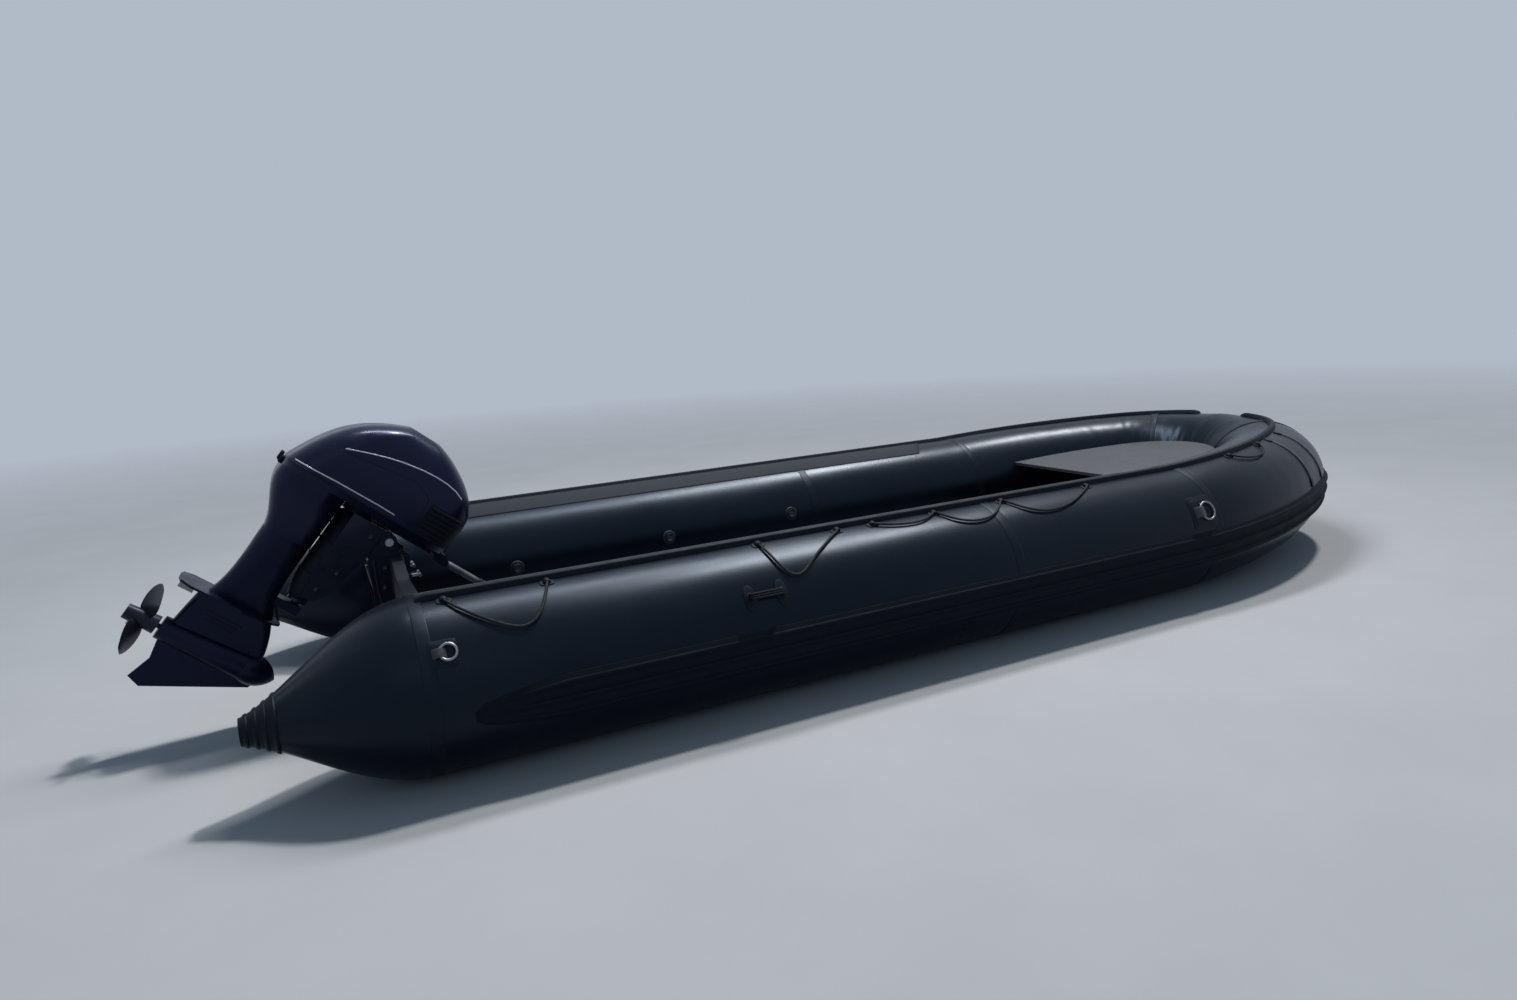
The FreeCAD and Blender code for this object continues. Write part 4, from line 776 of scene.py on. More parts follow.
def bottom_height(sections, x, y):
    after = next((index for index in range(1, len(sections)) if sections[index][0] >= x), len(sections) - 1)
    first, last = sections[after - 1], sections[after]
    share = clamp01((x - first[0]) / (last[0] - first[0]))
    half, edge, keel = (a + (b - a) * share for a, b in zip(first[1:], last[1:]))
    return keel + (edge - keel) * abs(y) / half


def make_bottom():
    """The bottom: one sheet drawn between the tubes, with slack waves that die out at its glued edges."""
    sections = bottom_sections()
    rings = []
    for station in spread(BOTTOM_START, PATH_LENGTH - 0.03, 0.03):
        edge = tube_point(station, BOTTOM_SEAM_ANGLE)
        lower, upper = [], []
        for column in range(BOTTOM_COLUMNS + 1):
            across = 2 * column / BOTTOM_COLUMNS - 1
            y = edge.y * across
            slack = 0.5 + 0.5 * noise.noise(Vector((edge.x * 2.6, y * 4.0, 0.7)))
            z = bottom_height(sections, edge.x, y) + BOTTOM_WAVE * slack * (1 - abs(across) ** 6)
            lower.append(Vector((edge.x, y, z)))
            upper.append(Vector((edge.x, y, z + BOTTOM_SHEET)))
        rings.append(lower + upper[::-1])
    piece = make_object("bottom_fabric_dressed", *skin(rings))
    finish_piece(piece, "bottom_fabric", replaces=["bottom_fabric"])


def make_keel():
    """The keel tube under the floor: a slim inflated tube with domed ends and soft dents."""
    quarter = [math.radians(8 + 82 * index / 9) for index in range(10)]
    profile = [(KEEL_START + KEEL_RADIUS * (1 - math.cos(angle)), math.sin(angle)) for angle in quarter]
    profile += [(x, 1.0) for x in spread(KEEL_START + KEEL_RADIUS, KEEL_END - KEEL_RADIUS, 0.03)[1:-1]]
    profile += [(KEEL_END - KEEL_RADIUS * (1 - math.cos(angle)), math.sin(angle)) for angle in reversed(quarter)]
    rings = []
    for x, share in profile:
        ring = []
        for step in range(48):
            cosine, sine = math.cos(math.pi * step / 24), math.sin(math.pi * step / 24)
            dent = KEEL_DENT * (0.5 + 0.5 * noise.noise(Vector((x * 6, cosine * 1.6, sine * 1.6))))
            radius = (KEEL_RADIUS - dent) * share
            ring.append(Vector((x, radius * cosine, KEEL_AXIS + radius * sine)))
        rings.append(ring)
    piece = make_object("keel_tube_dressed", *skin(rings))
    finish_piece(piece, "tube_fabric", replaces=["keel_tube"])


# Strips, rails and strakes

STRIP_FROM, STRIP_TO = 86.5, 119.0
STRIP_START, STRIP_END = 0.010, 3.300
STRIP_THICKNESS = 0.003
RAIL_MIDDLE, RAIL_HALF = 82.0, 3.2
RAIL_HEIGHT = 0.020
RAIL_START, RAIL_END_GAP = 0.005, 0.150
RAIL_EASE = 0.035
STRAKE_MIDDLE, STRAKE_BAND = -8.0, 30.0
STRAKE_START = 0.120
STRAKE_TOP = STRAKE_MIDDLE + STRAKE_BAND / 2
STRAP_LOW, STRAP_HIGH = STRAKE_TOP + 1.0, 78.0


def make_grip_strips():
    """The wide strips along the tubes' tops, with an oblique forward end."""
    profile = strip_profile(STRIP_FROM, STRIP_TO, STRIP_THICKNESS, edge=0.4, steps=26)
    stations = spread(STRIP_START, STRIP_END - 0.12, 0.03)
    rings = [[tube_point(station, degrees, lift) for degrees, lift in profile] for station in stations]
    end = []
    for degrees, lift in profile:
        share = (degrees - STRIP_FROM) / (STRIP_TO - STRIP_FROM)
        end.append(tube_point(STRIP_END - 0.11 * share, degrees, lift))
    rings.append(end)
    piece = make_object("grip_strips_dressed", *both_sides([skin(rings)]))
    finish_piece(piece, "grip_fabric", replaces=["grip_strips"])


def make_rails():
    """A moulded rail: flanges, a round-shouldered body and a shallow groove along its top."""
    half, height = RAIL_HALF, RAIL_HEIGHT
    outline = [
        (-1.0, -0.20), (-1.0, 0.10), (-0.86, 0.22), (-0.74, 0.62), (-0.60, 0.88), (-0.40, 0.99),
        (-0.18, 1.00), (-0.08, 0.93), (0.08, 0.93), (0.18, 1.00), (0.40, 0.99), (0.60, 0.88),
        (0.74, 0.62), (0.86, 0.22), (1.0, 0.10), (1.0, -0.20),
    ]
    end = PATH_LENGTH - RAIL_END_GAP
    stations = spread(RAIL_START, RAIL_START + RAIL_EASE, 0.006)[:-1] + spread(RAIL_START + RAIL_EASE, BOW_START, 0.04)[:-1]
    stations += spread(BOW_START, end - RAIL_EASE, 0.018)[:-1] + spread(end - RAIL_EASE, end, 0.006)
    rings = []
    for station in stations:
        share = min(station - RAIL_START, end - station) / RAIL_EASE
        rise = height * (0.30 + 0.70 * math.sqrt(clamp01(share)))
        rings.append([tube_point(station, RAIL_MIDDLE + across * half, up * rise) for across, up in reversed(outline)])
    piece = make_object("grab_rails_dressed", *both_sides([skin(rings)]))
    finish_piece(piece, "moulded_rubber", replaces=["grab_rails"])


STRAKE_RIDGE = [
    (-1.9, 0.0042), (-1.5, 0.0075), (-1.05, 0.0125), (-0.5, 0.0142),
    (0.5, 0.0142), (1.05, 0.0125), (1.5, 0.0075), (1.9, 0.0042),
]
STRAKE_EASE = 0.30


def make_strakes():
    """The rubbing strake: a flat band with three rounded ridges that run out at its after end."""
    low = STRAKE_MIDDLE - STRAKE_BAND / 2
    pitch = STRAKE_BAND / 3
    outline = [(low, -0.005), (low, 0.0012), (low + 0.5, 0.004)]
    for index in range(3):
        middle = low + pitch * (index + 0.5)
        outline += [(middle + across, lift) for across, lift in STRAKE_RIDGE]
    outline += [(low + STRAKE_BAND - 0.5, 0.004), (low + STRAKE_BAND, 0.0012), (low + STRAKE_BAND, -0.005)]
    outline.reverse()
    stations = spread(STRAKE_START, BOW_START, 0.03)[:-1] + spread(BOW_START, PATH_LENGTH, 0.018)
    rings = []
    for station in stations:
        rise = 0.08 + 0.92 * ramp01(station, STRAKE_START, STRAKE_START + STRAKE_EASE)
        narrow = 0.22 + 0.78 * math.sqrt(clamp01((station - STRAKE_START) / STRAKE_EASE))
        ring = []
        for degrees, lift in outline:
            angle = STRAKE_MIDDLE + (degrees - STRAKE_MIDDLE) * narrow
            ring.append(tube_point(station, angle, lift * rise if lift > 0 else lift))
        rings.append(ring)
    piece = make_object("rub_strakes_dressed", *both_sides([skin(rings)]))
    finish_piece(piece, "moulded_rubber", material=STRAKE_RUBBER, replaces=["rub_strakes"])


# Patches, rings, handles, holders, valves and caps

PATCH_THICKNESS = 0.003
HOLDER_ANGLE = 74.8
HOLDER_STATIONS = [0.092, 0.436, 1.250, 1.600, 1.768, 2.072, 2.430, 2.925, 3.922, 4.244]
LIFT_RINGS = [(0.052, 34.0, 0.046, 0.027), (BOW_START - 0.086, 25.0, 0.080, 0.042)]
HANDLE_STATION, HANDLE_ANGLE = 1.182, 29.5
HANDLE_REACH, HANDLE_TOP = 0.066, 0.0263
VALVES = [(0.640, 178.0), (1.450, 173.0), (2.190, 169.0)]
TOW_ANGLE, TOW_HALF_ANGLE, TOW_REACH = 22.0, 14.0, 0.090
STRAP_GAPS = [1.010, 0.790]
CAP_RIBS, CAP_RIB_HEIGHT = 4, 0.0042
RIBBON_SECTION = [
    (-1.0, 0.0), (-0.96, 0.8), (-0.84, 1.0), (0.84, 1.0), (0.96, 0.8),
    (1.0, 0.0), (0.96, -0.8), (0.84, -1.0), (-0.84, -1.0), (-0.96, -0.8),
]


def on_side(station, degrees):
    """Gives points on the port tube from (forward, up round the tube, lift), with its origin at a seat."""
    return lambda x, y, lift: tube_point(station + x, degrees + math.degrees(y / TUBE_RADIUS), lift)


def on_nose(degrees):
    """The same round the nose's middle, from (to port, up round the tube, lift)."""

    def place(x, y, lift):
        point = tube_point(PATH_LENGTH - abs(x), degrees + math.degrees(y / TUBE_RADIUS), lift)
        return Vector((point.x, -point.y, point.z)) if x < 0 else point

    return place


def pad(place, half_length, half_width, thickness, power=5.0, edge=0.0014, steps=56):
    """A glued pad with rounded corners and an eased rim, bent to what it lies on."""
    outline = []
    for index in range(steps):
        angle = 2 * math.pi * index / steps
        cosine, sine = math.cos(angle), math.sin(angle)
        outline.append((math.copysign(abs(cosine) ** (2 / power), cosine), math.copysign(abs(sine) ** (2 / power), sine)))
    small = min(half_length, half_width)
    rows = [(0.0, -0.002), (0.0, thickness - edge), (edge * 0.35, thickness - edge * 0.3), (edge, thickness)]
    rows += [(small * share, thickness) for share in (0.25, 0.5, 0.75, 0.97)]
    rings = []
    for inset, lift in rows:
        rings.append([place(x * (half_length - inset), y * (half_width - inset), lift) for x, y in outline])
    return skin(rings)


def ribbon(points, across, half_width, half_thickness):
    """A flat band with rounded edges through points; across is the direction of its width."""
    rings = []
    for index, point in enumerate(points):
        before = points[max(index - 1, 0)]
        after = points[min(index + 1, len(points) - 1)]
        normal = (after - before).cross(across).normalized()
        rings.append([
            point + across * (side * half_width) + normal * (up * half_thickness) for side, up in RIBBON_SECTION
        ])
    return skin(rings)


def arch(matrix, middle, half, base, top, half_width, half_thickness, power=3.0, steps=30):
    """A strap that rises from a surface, runs level and comes down again, along the matrix's X."""
    points = []
    for index in range(steps + 1):
        angle = math.pi * index / steps
        cosine, sine = -math.cos(angle), math.sin(angle)
        x = middle + half * math.copysign(abs(cosine) ** (2 / power), cosine)
        points.append(matrix @ Vector((x, 0, base + (top - half_thickness - base) * sine ** (2 / power))))
    across = (matrix.to_3x3() @ Vector((0, 1, 0))).normalized()
    return ribbon(points, across, half_width, half_thickness)


def make_holders():
    """Rubber holders: a small patch with a low moulded loop that grips the rope."""
    parts = []
    for station in HOLDER_STATIONS:
        place = on_side(station, HOLDER_ANGLE)
        parts.append(pad(place, 0.026, 0.018, PATCH_THICKNESS, power=3.2))
        parts.append(pad(place, 0.0125, 0.0140, 0.0062, power=3.0, edge=0.002))
        parts.append(arch(seat(station, HOLDER_ANGLE), 0.0, 0.0098, 0.002, 0.0155, 0.0105, 0.0032, power=2.3, steps=16))
    finish_piece(
        make_object("rope_holders_dressed", *both_sides(parts)), "moulded_rubber", replaces=["rope_holders"]
    )


def make_ring_patches():
    """Fabric patches in two layers, each with a webbing loop over the ring's bar."""
    layers, loops = [], []
    for station, degrees, half, radius in LIFT_RINGS:
        place = on_side(station, degrees)
        layers.append(pad(place, half, half, PATCH_THICKNESS * 0.55, power=7.0, edge=0.0009))
        layers.append(pad(place, half * 0.80, half * 0.80, PATCH_THICKNESS, power=6.0, edge=0.0009))
        loops.append(
            arch(seat(station, degrees), -radius / 2, radius * 0.78, 0.001, 0.0163, radius * 0.6, 0.0016, power=1.5)
        )
    finish_piece(
        make_object("ring_patches_dressed", *both_sides(layers)), "moulded_rubber", material=TAPE,
        replaces=["ring_patches"],
    )
    finish_piece(make_object("ring_loops", *both_sides(loops)), "moulded_rubber", material=WEBBING)


def make_handles():
    """A moulded carrying handle: a pad under each end and a strap that arches between them."""
    parts = []
    for end in (-1, 1):
        place = on_side(HANDLE_STATION + end * 0.064, HANDLE_ANGLE)
        parts.append(pad(place, 0.024, 0.050, PATCH_THICKNESS, power=2.2, edge=0.0012))
        parts.append(pad(place, 0.0170, 0.0210, 0.0070, power=2.2, edge=0.003))
    matrix = seat(HANDLE_STATION, HANDLE_ANGLE)
    parts.append(arch(matrix, 0.0, HANDLE_REACH, 0.002, HANDLE_TOP, 0.0135, 0.0030, power=6.0, steps=48))
    for offset in (-0.0085, 0.0, 0.0085):
        ridge = matrix @ Matrix.Translation((0, offset, 0.0014))
        parts.append(arch(ridge, 0.0, HANDLE_REACH, 0.002, HANDLE_TOP, 0.0022, 0.0020, power=6.0, steps=48))
    finish_piece(
        make_object("carry_handles_dressed", *both_sides(parts)), "moulded_rubber",
        replaces=["carry_handles", "handle_patches"],
    )


def make_valves():
    """Screwed air valves: a flange with a stepped rim, a knurled cap and a tether lug."""
    flange = [(0.0360, 0.0), (0.0360, 0.0022), (0.0345, 0.0048), (0.0300, 0.0060), (0.0262, 0.0060), (0.0255, 0.0050)]
    parts = []
    for station, degrees in VALVES:
        parts.append(pad(on_side(station, degrees), 0.036, 0.036, 0.0052, power=2.0, edge=0.002))
        matrix = seat(station, degrees)
        parts.append(lathe(flange + [(0.0, 0.0050)], matrix, steps=48))
        rings = []
        for share, height in ((1.0, 0.003), (1.0, 0.0125), (0.95, 0.0145), (0.86, 0.0150), (0.80, 0.0132), (0.0, 0.0132)):
            ring = []
            for index in range(96):
                angle = 2 * math.pi * index / 96
                flute = 0.0009 * (0.5 + 0.5 * math.cos(24 * angle)) if share == 1.0 else 0.0
                radius = 0.023 * share - flute
                ring.append(matrix @ Vector((radius * math.cos(angle), radius * math.sin(angle), height)))
            rings.append(ring)
        parts.append(skin(rings))
        parts.append(rounded_box((-0.016, -0.003, 0.0130), (0.016, 0.003, 0.0150), matrix, 0.0008))
    finish_piece(make_object("valves_dressed", *both_sides(parts)), "valve_plastic", replaces=["valves"])


def make_tow_patch():
    """The nose patch in two layers, with a broad webbing loop for the towing ring."""
    place = on_nose(TOW_ANGLE)
    half_width = math.radians(TOW_HALF_ANGLE) * TUBE_RADIUS
    layers = [
        pad(place, TOW_REACH, half_width, PATCH_THICKNESS * 0.55, power=6.0, edge=0.0009),
        pad(place, TOW_REACH * 0.74, half_width * 0.78, PATCH_THICKNESS, power=5.0, edge=0.0009),
    ]
    finish_piece(make_object("tow_patch_dressed", *joined(layers)), "moulded_rubber", material=TAPE, replaces=["tow_patch"])
    turned = seat(PATH_LENGTH, TOW_ANGLE) @ Matrix.Rotation(math.radians(90), 4, "Z")
    loop = arch(turned, 0.0, 0.034, 0.001, 0.0183, 0.024, 0.0019, power=1.6)
    finish_piece(make_object("tow_loop", *loop), "moulded_rubber", material=WEBBING)


def make_bow_straps():
    """Two webbing straps over each side of the bow, each with a sewn pad at both ends."""
    straps, pads = [], []
    profile = strip_profile(STRAP_LOW, STRAP_HIGH, 0.0026, edge=0.5, steps=30)
    for before_nose in STRAP_GAPS:
        station = PATH_LENGTH - before_nose
        straps.append(swept(profile, spread(station - 0.009, station + 0.009, 0.003)))
        for degrees in (STRAP_LOW + 4.6, STRAP_HIGH - 4.6):
            pads.append(pad(on_side(station, degrees), 0.016, 0.022, 0.0033, power=4.0, edge=0.0010))
    finish_piece(
        make_object("bow_straps_dressed", *both_sides(straps)), "moulded_rubber", material=WEBBING,
        replaces=["bow_straps"],
    )
    finish_piece(make_object("bow_strap_pads", *both_sides(pads)), "moulded_rubber", material=TAPE)


def make_cone_caps():
    """Moulded caps on the tail cones, with four rounded ribs and a closed, rounded tip."""
    pitch = CAP_LENGTH / CAP_RIBS
    rings = []
    for share in (0.15, 0.55, 0.85):
        rings.append([tube_point(-CONE_LENGTH, 3.75 * step, -CONE_TIP_RADIUS * (1 - share)) for step in range(96)])
    for x in spread(0.0, CAP_LENGTH, 0.0016):
        middle = (math.floor(min(x / pitch, CAP_RIBS - 0.01)) + 0.5) * pitch + 0.0045
        across = (x - middle) / 0.0062
        rib = CAP_RIB_HEIGHT * math.sqrt(max(0.0, 1 - across * across)) ** 0.7
        lip = -0.0012 * ramp01(x, CAP_LENGTH - 0.004, CAP_LENGTH)
        rings.append([tube_point(x - CONE_LENGTH, 3.75 * step, rib + lip + 0.0004) for step in range(96)])
    finish_piece(make_object("cone_caps_dressed", *both_sides([skin(rings)])), "moulded_rubber", replaces=["cone_caps"])


# Outboard motor

MOTOR_TILT = math.radians(40.0)
MOTOR_PLACE = Matrix.Translation((STERN_X + 0.565, 0, 0.665)) @ Matrix.Rotation(MOTOR_TILT, 4, "Y")
HULL_PLACE = Matrix.Translation((STERN_X, 0, 0))
CAST_REACH = 0.6


def node_surface(name):
    mesh = frame["nodes"][name].data
    return BVHTree.FromPolygons([v.co.copy() for v in mesh.vertices], [tuple(p.vertices) for p in mesh.polygons])


def side_hit(surface, place, x, z, side, lift=0.0):
    """The point and outward normal where a line from the side meets a node's surface."""
    start = place @ Vector((x, side * CAST_REACH, z))
    point, normal, *_ = surface.ray_cast(start, Vector((0, -side, 0)))
    if point is None:
        return None
    if normal.y * side < 0:
        normal = -normal
    return point + normal * lift, normal


def side_band(surface, place, path, half, lift, side):
    """A thin band laid on a node's side along a path of (x, z) points."""
    rings = []
    rim = lift * 0.6
    section = [(-1.0, -0.0012), (-0.94, rim), (-0.7, lift), (0.7, lift), (0.94, rim), (1.0, -0.0012)]
    for index, (x, z) in enumerate(path):
        before = Vector(path[max(index - 1, 0)])
        after = Vector(path[min(index + 1, len(path) - 1)])
        along = (after - before).normalized()
        ring = []
        for across, rise in section:
            hit = side_hit(surface, place, x - along.y * across * half, z + along.x * across * half, side, rise)
            if hit is None:
                break
            ring.append(hit[0])
        if len(ring) == len(section):
            rings.append(ring)
    return skin(rings) if len(rings) > 1 else ([], [])


def traced(points, step=0.006):
    """Points along a broken line, a step apart."""
    path = []
    for first, last in zip(points, points[1:]):
        start, end = Vector(first), Vector(last)
        count = max(1, round((end - start).length / step))
        path += [tuple(start.lerp(end, index / count)) for index in range(count)]
    return path + [points[-1]]


def bolt(point, normal, radius, height=None):
    """A hexagon head on a washer, standing on a surface."""
    height = height or radius * 0.8
    matrix = normal.to_track_quat("Z", "Y").to_matrix().to_4x4()
    matrix.translation = point
    washer = [(radius * 1.45, -0.001), (radius * 1.45, height * 0.18), (radius * 1.3, height * 0.26), (0.0, height * 0.26)]
    head = [(radius, 0.0), (radius, height * 0.86), (radius * 0.86, height), (0.0, height)]
    return joined([lathe(washer, matrix, steps=24), lathe(head, matrix, steps=6)])


def bolts_on(surface, place, table, sides=(-1, 1)):
    parts = []
    for x, z, radius in table:
        for side in sides:
            hit = side_hit(surface, place, x, z, side)
            if hit is not None:
                parts.append(bolt(hit[0], hit[1], radius))
    return parts


UPPER_LINE = [
    (-0.345, 0.232), (-0.315, 0.244), (-0.280, 0.257), (-0.240, 0.271), (-0.200, 0.284), (-0.155, 0.296),
    (-0.105, 0.306), (-0.055, 0.314), (0.000, 0.318), (0.050, 0.317), (0.095, 0.309), (0.135, 0.293),
]
LOWER_LINE = [(-0.468, 0.101), (-0.30, 0.108), (-0.12, 0.110), (-0.055, 0.108)]
SEAM_LINE = [(-0.485, 0.0885), (0.196, 0.0885)]
LOUVRE_ROWS = [0.106, 0.126, 0.146, 0.166, 0.186, 0.206]
LOUVRE_FROM, LOUVRE_TO = 0.050, 0.186
PANEL_LINE = [(-0.440, 0.135), (-0.395, 0.200), (-0.330, 0.222), (-0.060, 0.262), (0.020, 0.232), (0.036, 0.120)]


def make_cowl_details():
    """Pin stripes, the parting seal, a louvred intake and a shallow panel line on each side of the cowl."""
    cowl = node_surface("upper_cowl")
    stripes, seal, slats = [], [], []
    for side in (-1, 1):
        stripes.append(side_band(cowl, MOTOR_PLACE, traced(UPPER_LINE), 0.0022, 0.0005, side))
        stripes.append(side_band(cowl, MOTOR_PLACE, traced(LOWER_LINE), 0.0026, 0.0005, side))
        seal.append(side_band(cowl, MOTOR_PLACE, traced(SEAM_LINE), 0.0030, 0.0022, side))
        seal.append(side_band(cowl, MOTOR_PLACE, traced(PANEL_LINE), 0.0014, 0.0004, side))
        middle = (LOUVRE_ROWS[0] + LOUVRE_ROWS[-1]) / 2
        half = (LOUVRE_ROWS[-1] - LOUVRE_ROWS[0]) / 2 + 0.014
        columns = traced([(LOUVRE_FROM - 0.010, middle), (LOUVRE_TO + 0.012, middle)])
        rings = []
        for x, _ in columns:
            heights = spread(middle - half, middle + half, 0.008)
            hits = [side_hit(cowl, MOTOR_PLACE, x, z, side, 0.0006) for z in heights]
            if all(hits):
                rings.append([hit[0] for hit in hits])
        seal.append(skin(rings, closed_ring=False, caps=False))
        for row in LOUVRE_ROWS:
            path = traced([(LOUVRE_FROM, row), (LOUVRE_TO, row + 0.004)])
            slats.append(side_band(cowl, MOTOR_PLACE, path, 0.0062, 0.0052, side))
    finish_piece(make_object("cowl_stripes", *joined(stripes)), "cowl_paint", "motor", STRIPE)
    finish_piece(make_object("cowl_seal", *joined(seal)), "cowl_paint", "motor", MATTE)
    finish_piece(make_object("cowl_louvres", *joined(slats)), "cowl_paint", "motor", MATTE)


HOUSING_BOLTS = [(-0.335, -0.165, 0.006), (-0.255, -0.165, 0.006), (-0.335, -0.300, 0.005), (-0.245, -0.430, 0.005)]
GEARCASE_BOLTS = [(-0.400, -0.470, 0.0055), (-0.250, -0.470, 0.0055), (-0.190, -0.640, 0.0050)]
SWIVEL_BOLTS = [(-0.060, -0.020, 0.0085), (-0.090, -0.210, 0.0070), (-0.120, -0.300, 0.0070)]


def make_motor_fittings():
    """Bolt heads, three intake bars on each side of the gearcase, and the cowl latches."""
    housing, gearcase = node_surface("drive_housing"), node_surface("gearcase")
    parts = bolts_on(housing, MOTOR_PLACE, HOUSING_BOLTS) + bolts_on(gearcase, MOTOR_PLACE, GEARCASE_BOLTS)
    for row in range(3):
        height = -0.560 - row * 0.017
        path = traced([(-0.405 + row * 0.008, height), (-0.262 - row * 0.010, height - 0.004)], 0.004)
        for side in (-1, 1):
            parts.append(side_band(gearcase, MOTOR_PLACE, path, 0.0036, 0.0016, side))
    finish_piece(make_object("motor_bolts", *joined(parts)), "casting_paint", "motor")
    latch = [
        rounded_box((-0.508, -0.030, 0.050), (-0.492, 0.030, 0.082), MOTOR_PLACE, 0.004),
        rounded_box((-0.516, -0.022, 0.058), (-0.502, 0.022, 0.096), MOTOR_PLACE, 0.003),
        rounded_box((0.200, -0.034, 0.060), (0.218, 0.034, 0.084), MOTOR_PLACE, 0.004),
        rounded_box((0.214, -0.024, 0.064), (0.228, 0.024, 0.100), MOTOR_PLACE, 0.003),
    ]
    finish_piece(make_object("cowl_latches", *joined(latch)), "cowl_paint", "motor", MATTE)


# Rows of the dark matte cover behind the swivel tube, painted shade where that space lies in shadow
SHADE_SHROUD_ROWS = [(0.020, 0.054), (0.012, 0.066), (-0.290, 0.066), (-0.340, 0.056), (-0.372, 0.046)]


def make_shade_shroud():
    """A round dark cover behind the swivel tube, clear of the housing that turns round it, with cast ribs; it is
    painted shade: dark matte plastic that fills a space which is only in shadow.
    """
    axis = -0.150

    def bent(rows, first, last):
        """A skin of (height, radius) rows round the swivel's axis, between two angles."""
        rings = []
        for height, radius in rows:
            ring = []
            for step in range(33):
                angle = math.radians(first + (last - first) * step / 32)
                ring.append(MOTOR_PLACE @ Vector((axis + radius * math.cos(angle), radius * math.sin(angle), height)))
            rings.append(ring)
        return skin(rings)

    parts = [bent(SHADE_SHROUD_ROWS, 92, 268)]
    for up in (-0.050, -0.120, -0.190, -0.260):
        rib = [(up - 0.004, 0.0655), (up - 0.003, 0.0695), (up + 0.003, 0.0695), (up + 0.004, 0.0655)]
        parts.append(bent(rib, 94, 266))
    # Matte near-black here is painted shade filling the shadowed space behind the swivel tube
    finish_piece(make_object("swivel_shade_shroud", *joined(parts)), "bracket_paint", "swivel", MATTE)
    boot = [
        (0.050, 0.0245), (0.064, 0.0245), (0.066, 0.029), (0.062, 0.033), (0.067, 0.038),
        (0.062, 0.043), (0.067, 0.049), (0.064, 0.056), (0.050, 0.056),
    ]
    form = lathe(boot, MOTOR_PLACE @ Matrix.Translation((axis, 0, 0)), steps=48, hollow=True)
    finish_piece(make_object("steering_boot", *form), "tiller_rubber", "motor", MATTE)


def make_pan_ribs():
    """Cast ribs and bosses under the lower cowl, beside the steering bracket."""
    parts = []
    for side in (-1, 1):
        for x in (-0.080, -0.010, 0.060, 0.130):
            low, high = sorted((side * 0.060, side * 0.158))
            parts.append(rounded_box((x - 0.004, low, 0.044), (x + 0.004, high, 0.062), MOTOR_PLACE, 0.0015))
        low, high = sorted((side * 0.104, side * 0.112))
        parts.append(rounded_box((-0.110, low, 0.040), (0.160, high, 0.062), MOTOR_PLACE, 0.0015))
        for x in (-0.045, 0.095):
            boss = MOTOR_PLACE @ Matrix.Translation((x, side * 0.135, 0.042))
            parts.append(lathe([(0.0, 0.0), (0.012, 0.0), (0.014, 0.003), (0.016, 0.020)], boss, steps=24))
    finish_piece(make_object("pan_ribs", *joined(parts)), "cowl_paint", "motor", MATTE)


def make_bracket_fittings():
    """Bolts, pivot nuts and stiffening ribs on the clamp and swivel brackets."""
    parts = []
    for word, side in (("port", 1), ("starboard", -1)):
        surface = node_surface("clamp_bracket_" + word)
        table = [(0.542, 0.560, 0.0085), (0.530, 0.480, 0.0085), (0.518, 0.400, 0.0085), (0.565, 0.665, 0.0150)]
        parts += bolts_on(surface, HULL_PLACE, table, sides=(side,))
        path = traced([(0.500, 0.600), (0.503, 0.470), (0.524, 0.350)])
        parts.append(side_band(surface, HULL_PLACE, path, 0.0045, 0.0040, side))
    finish_piece(make_object("clamp_fittings", *joined(parts)), "bracket_paint")
    swivel = node_surface("swivel_bracket")
    table = bolts_on(swivel, MOTOR_PLACE, SWIVEL_BOLTS)
    finish_piece(make_object("swivel_fittings", *joined(table)), "bracket_paint", "swivel")


TILLER_PIVOT = (0.252, 0.030)
TILLER_LENGTH, TILLER_GRIP = 0.300, 0.130


def make_tiller():
    """The tiller: a grey arm that swells at its knuckle, and a rubber grip with ribs and a stop collar."""
    pivot = MOTOR_PLACE @ Matrix.Translation((TILLER_PIVOT[0], 0, TILLER_PIVOT[1]))
    matrix = pivot @ Matrix.Rotation(math.radians(90), 4, "Y")
    start, end = TILLER_LENGTH - TILLER_GRIP, TILLER_LENGTH
    arm = [
        (0.0, 0.012), (0.0125, 0.014), (0.0140, 0.030), (0.0140, start - 0.020),
        (0.0128, start - 0.012), (0.0128, start + 0.001), (0.0, start + 0.001),
    ]
    knuckle = [(0.0, -0.0165), (0.0135, -0.0165), (0.0150, -0.0145), (0.0150, 0.0145), (0.0135, 0.0165), (0.0, 0.0165)]
    across = pivot @ Matrix.Rotation(math.radians(90), 4, "X")
    forms = [lathe(arm, matrix, steps=40), lathe(knuckle, across, steps=40)]
    piece = make_object("tiller_arm_dressed", *joined(forms))
    finish_piece(piece, "tiller_rubber", "tiller", GREY_PAINT, ["tiller_arm"])
    grip = [(0.0, start), (0.0150, start), (0.0176, start + 0.003), (0.0176, start + 0.012), (0.0150, start + 0.015)]
    for index in range(11):
        low = start + 0.018 + index * 0.0092
        grip += [(0.0158, low), (0.0176, low + 0.002), (0.0176, low + 0.0062), (0.0158, low + 0.0082)]
    grip += [(0.0172, end - 0.008), (0.0165, end - 0.003), (0.0130, end), (0.0, end)]
    piece = make_object("tiller_grip_dressed", *lathe(grip, matrix, steps=40))
    finish_piece(piece, "tiller_rubber", "tiller", MATTE, ["tiller_grip"])


# Lifelines

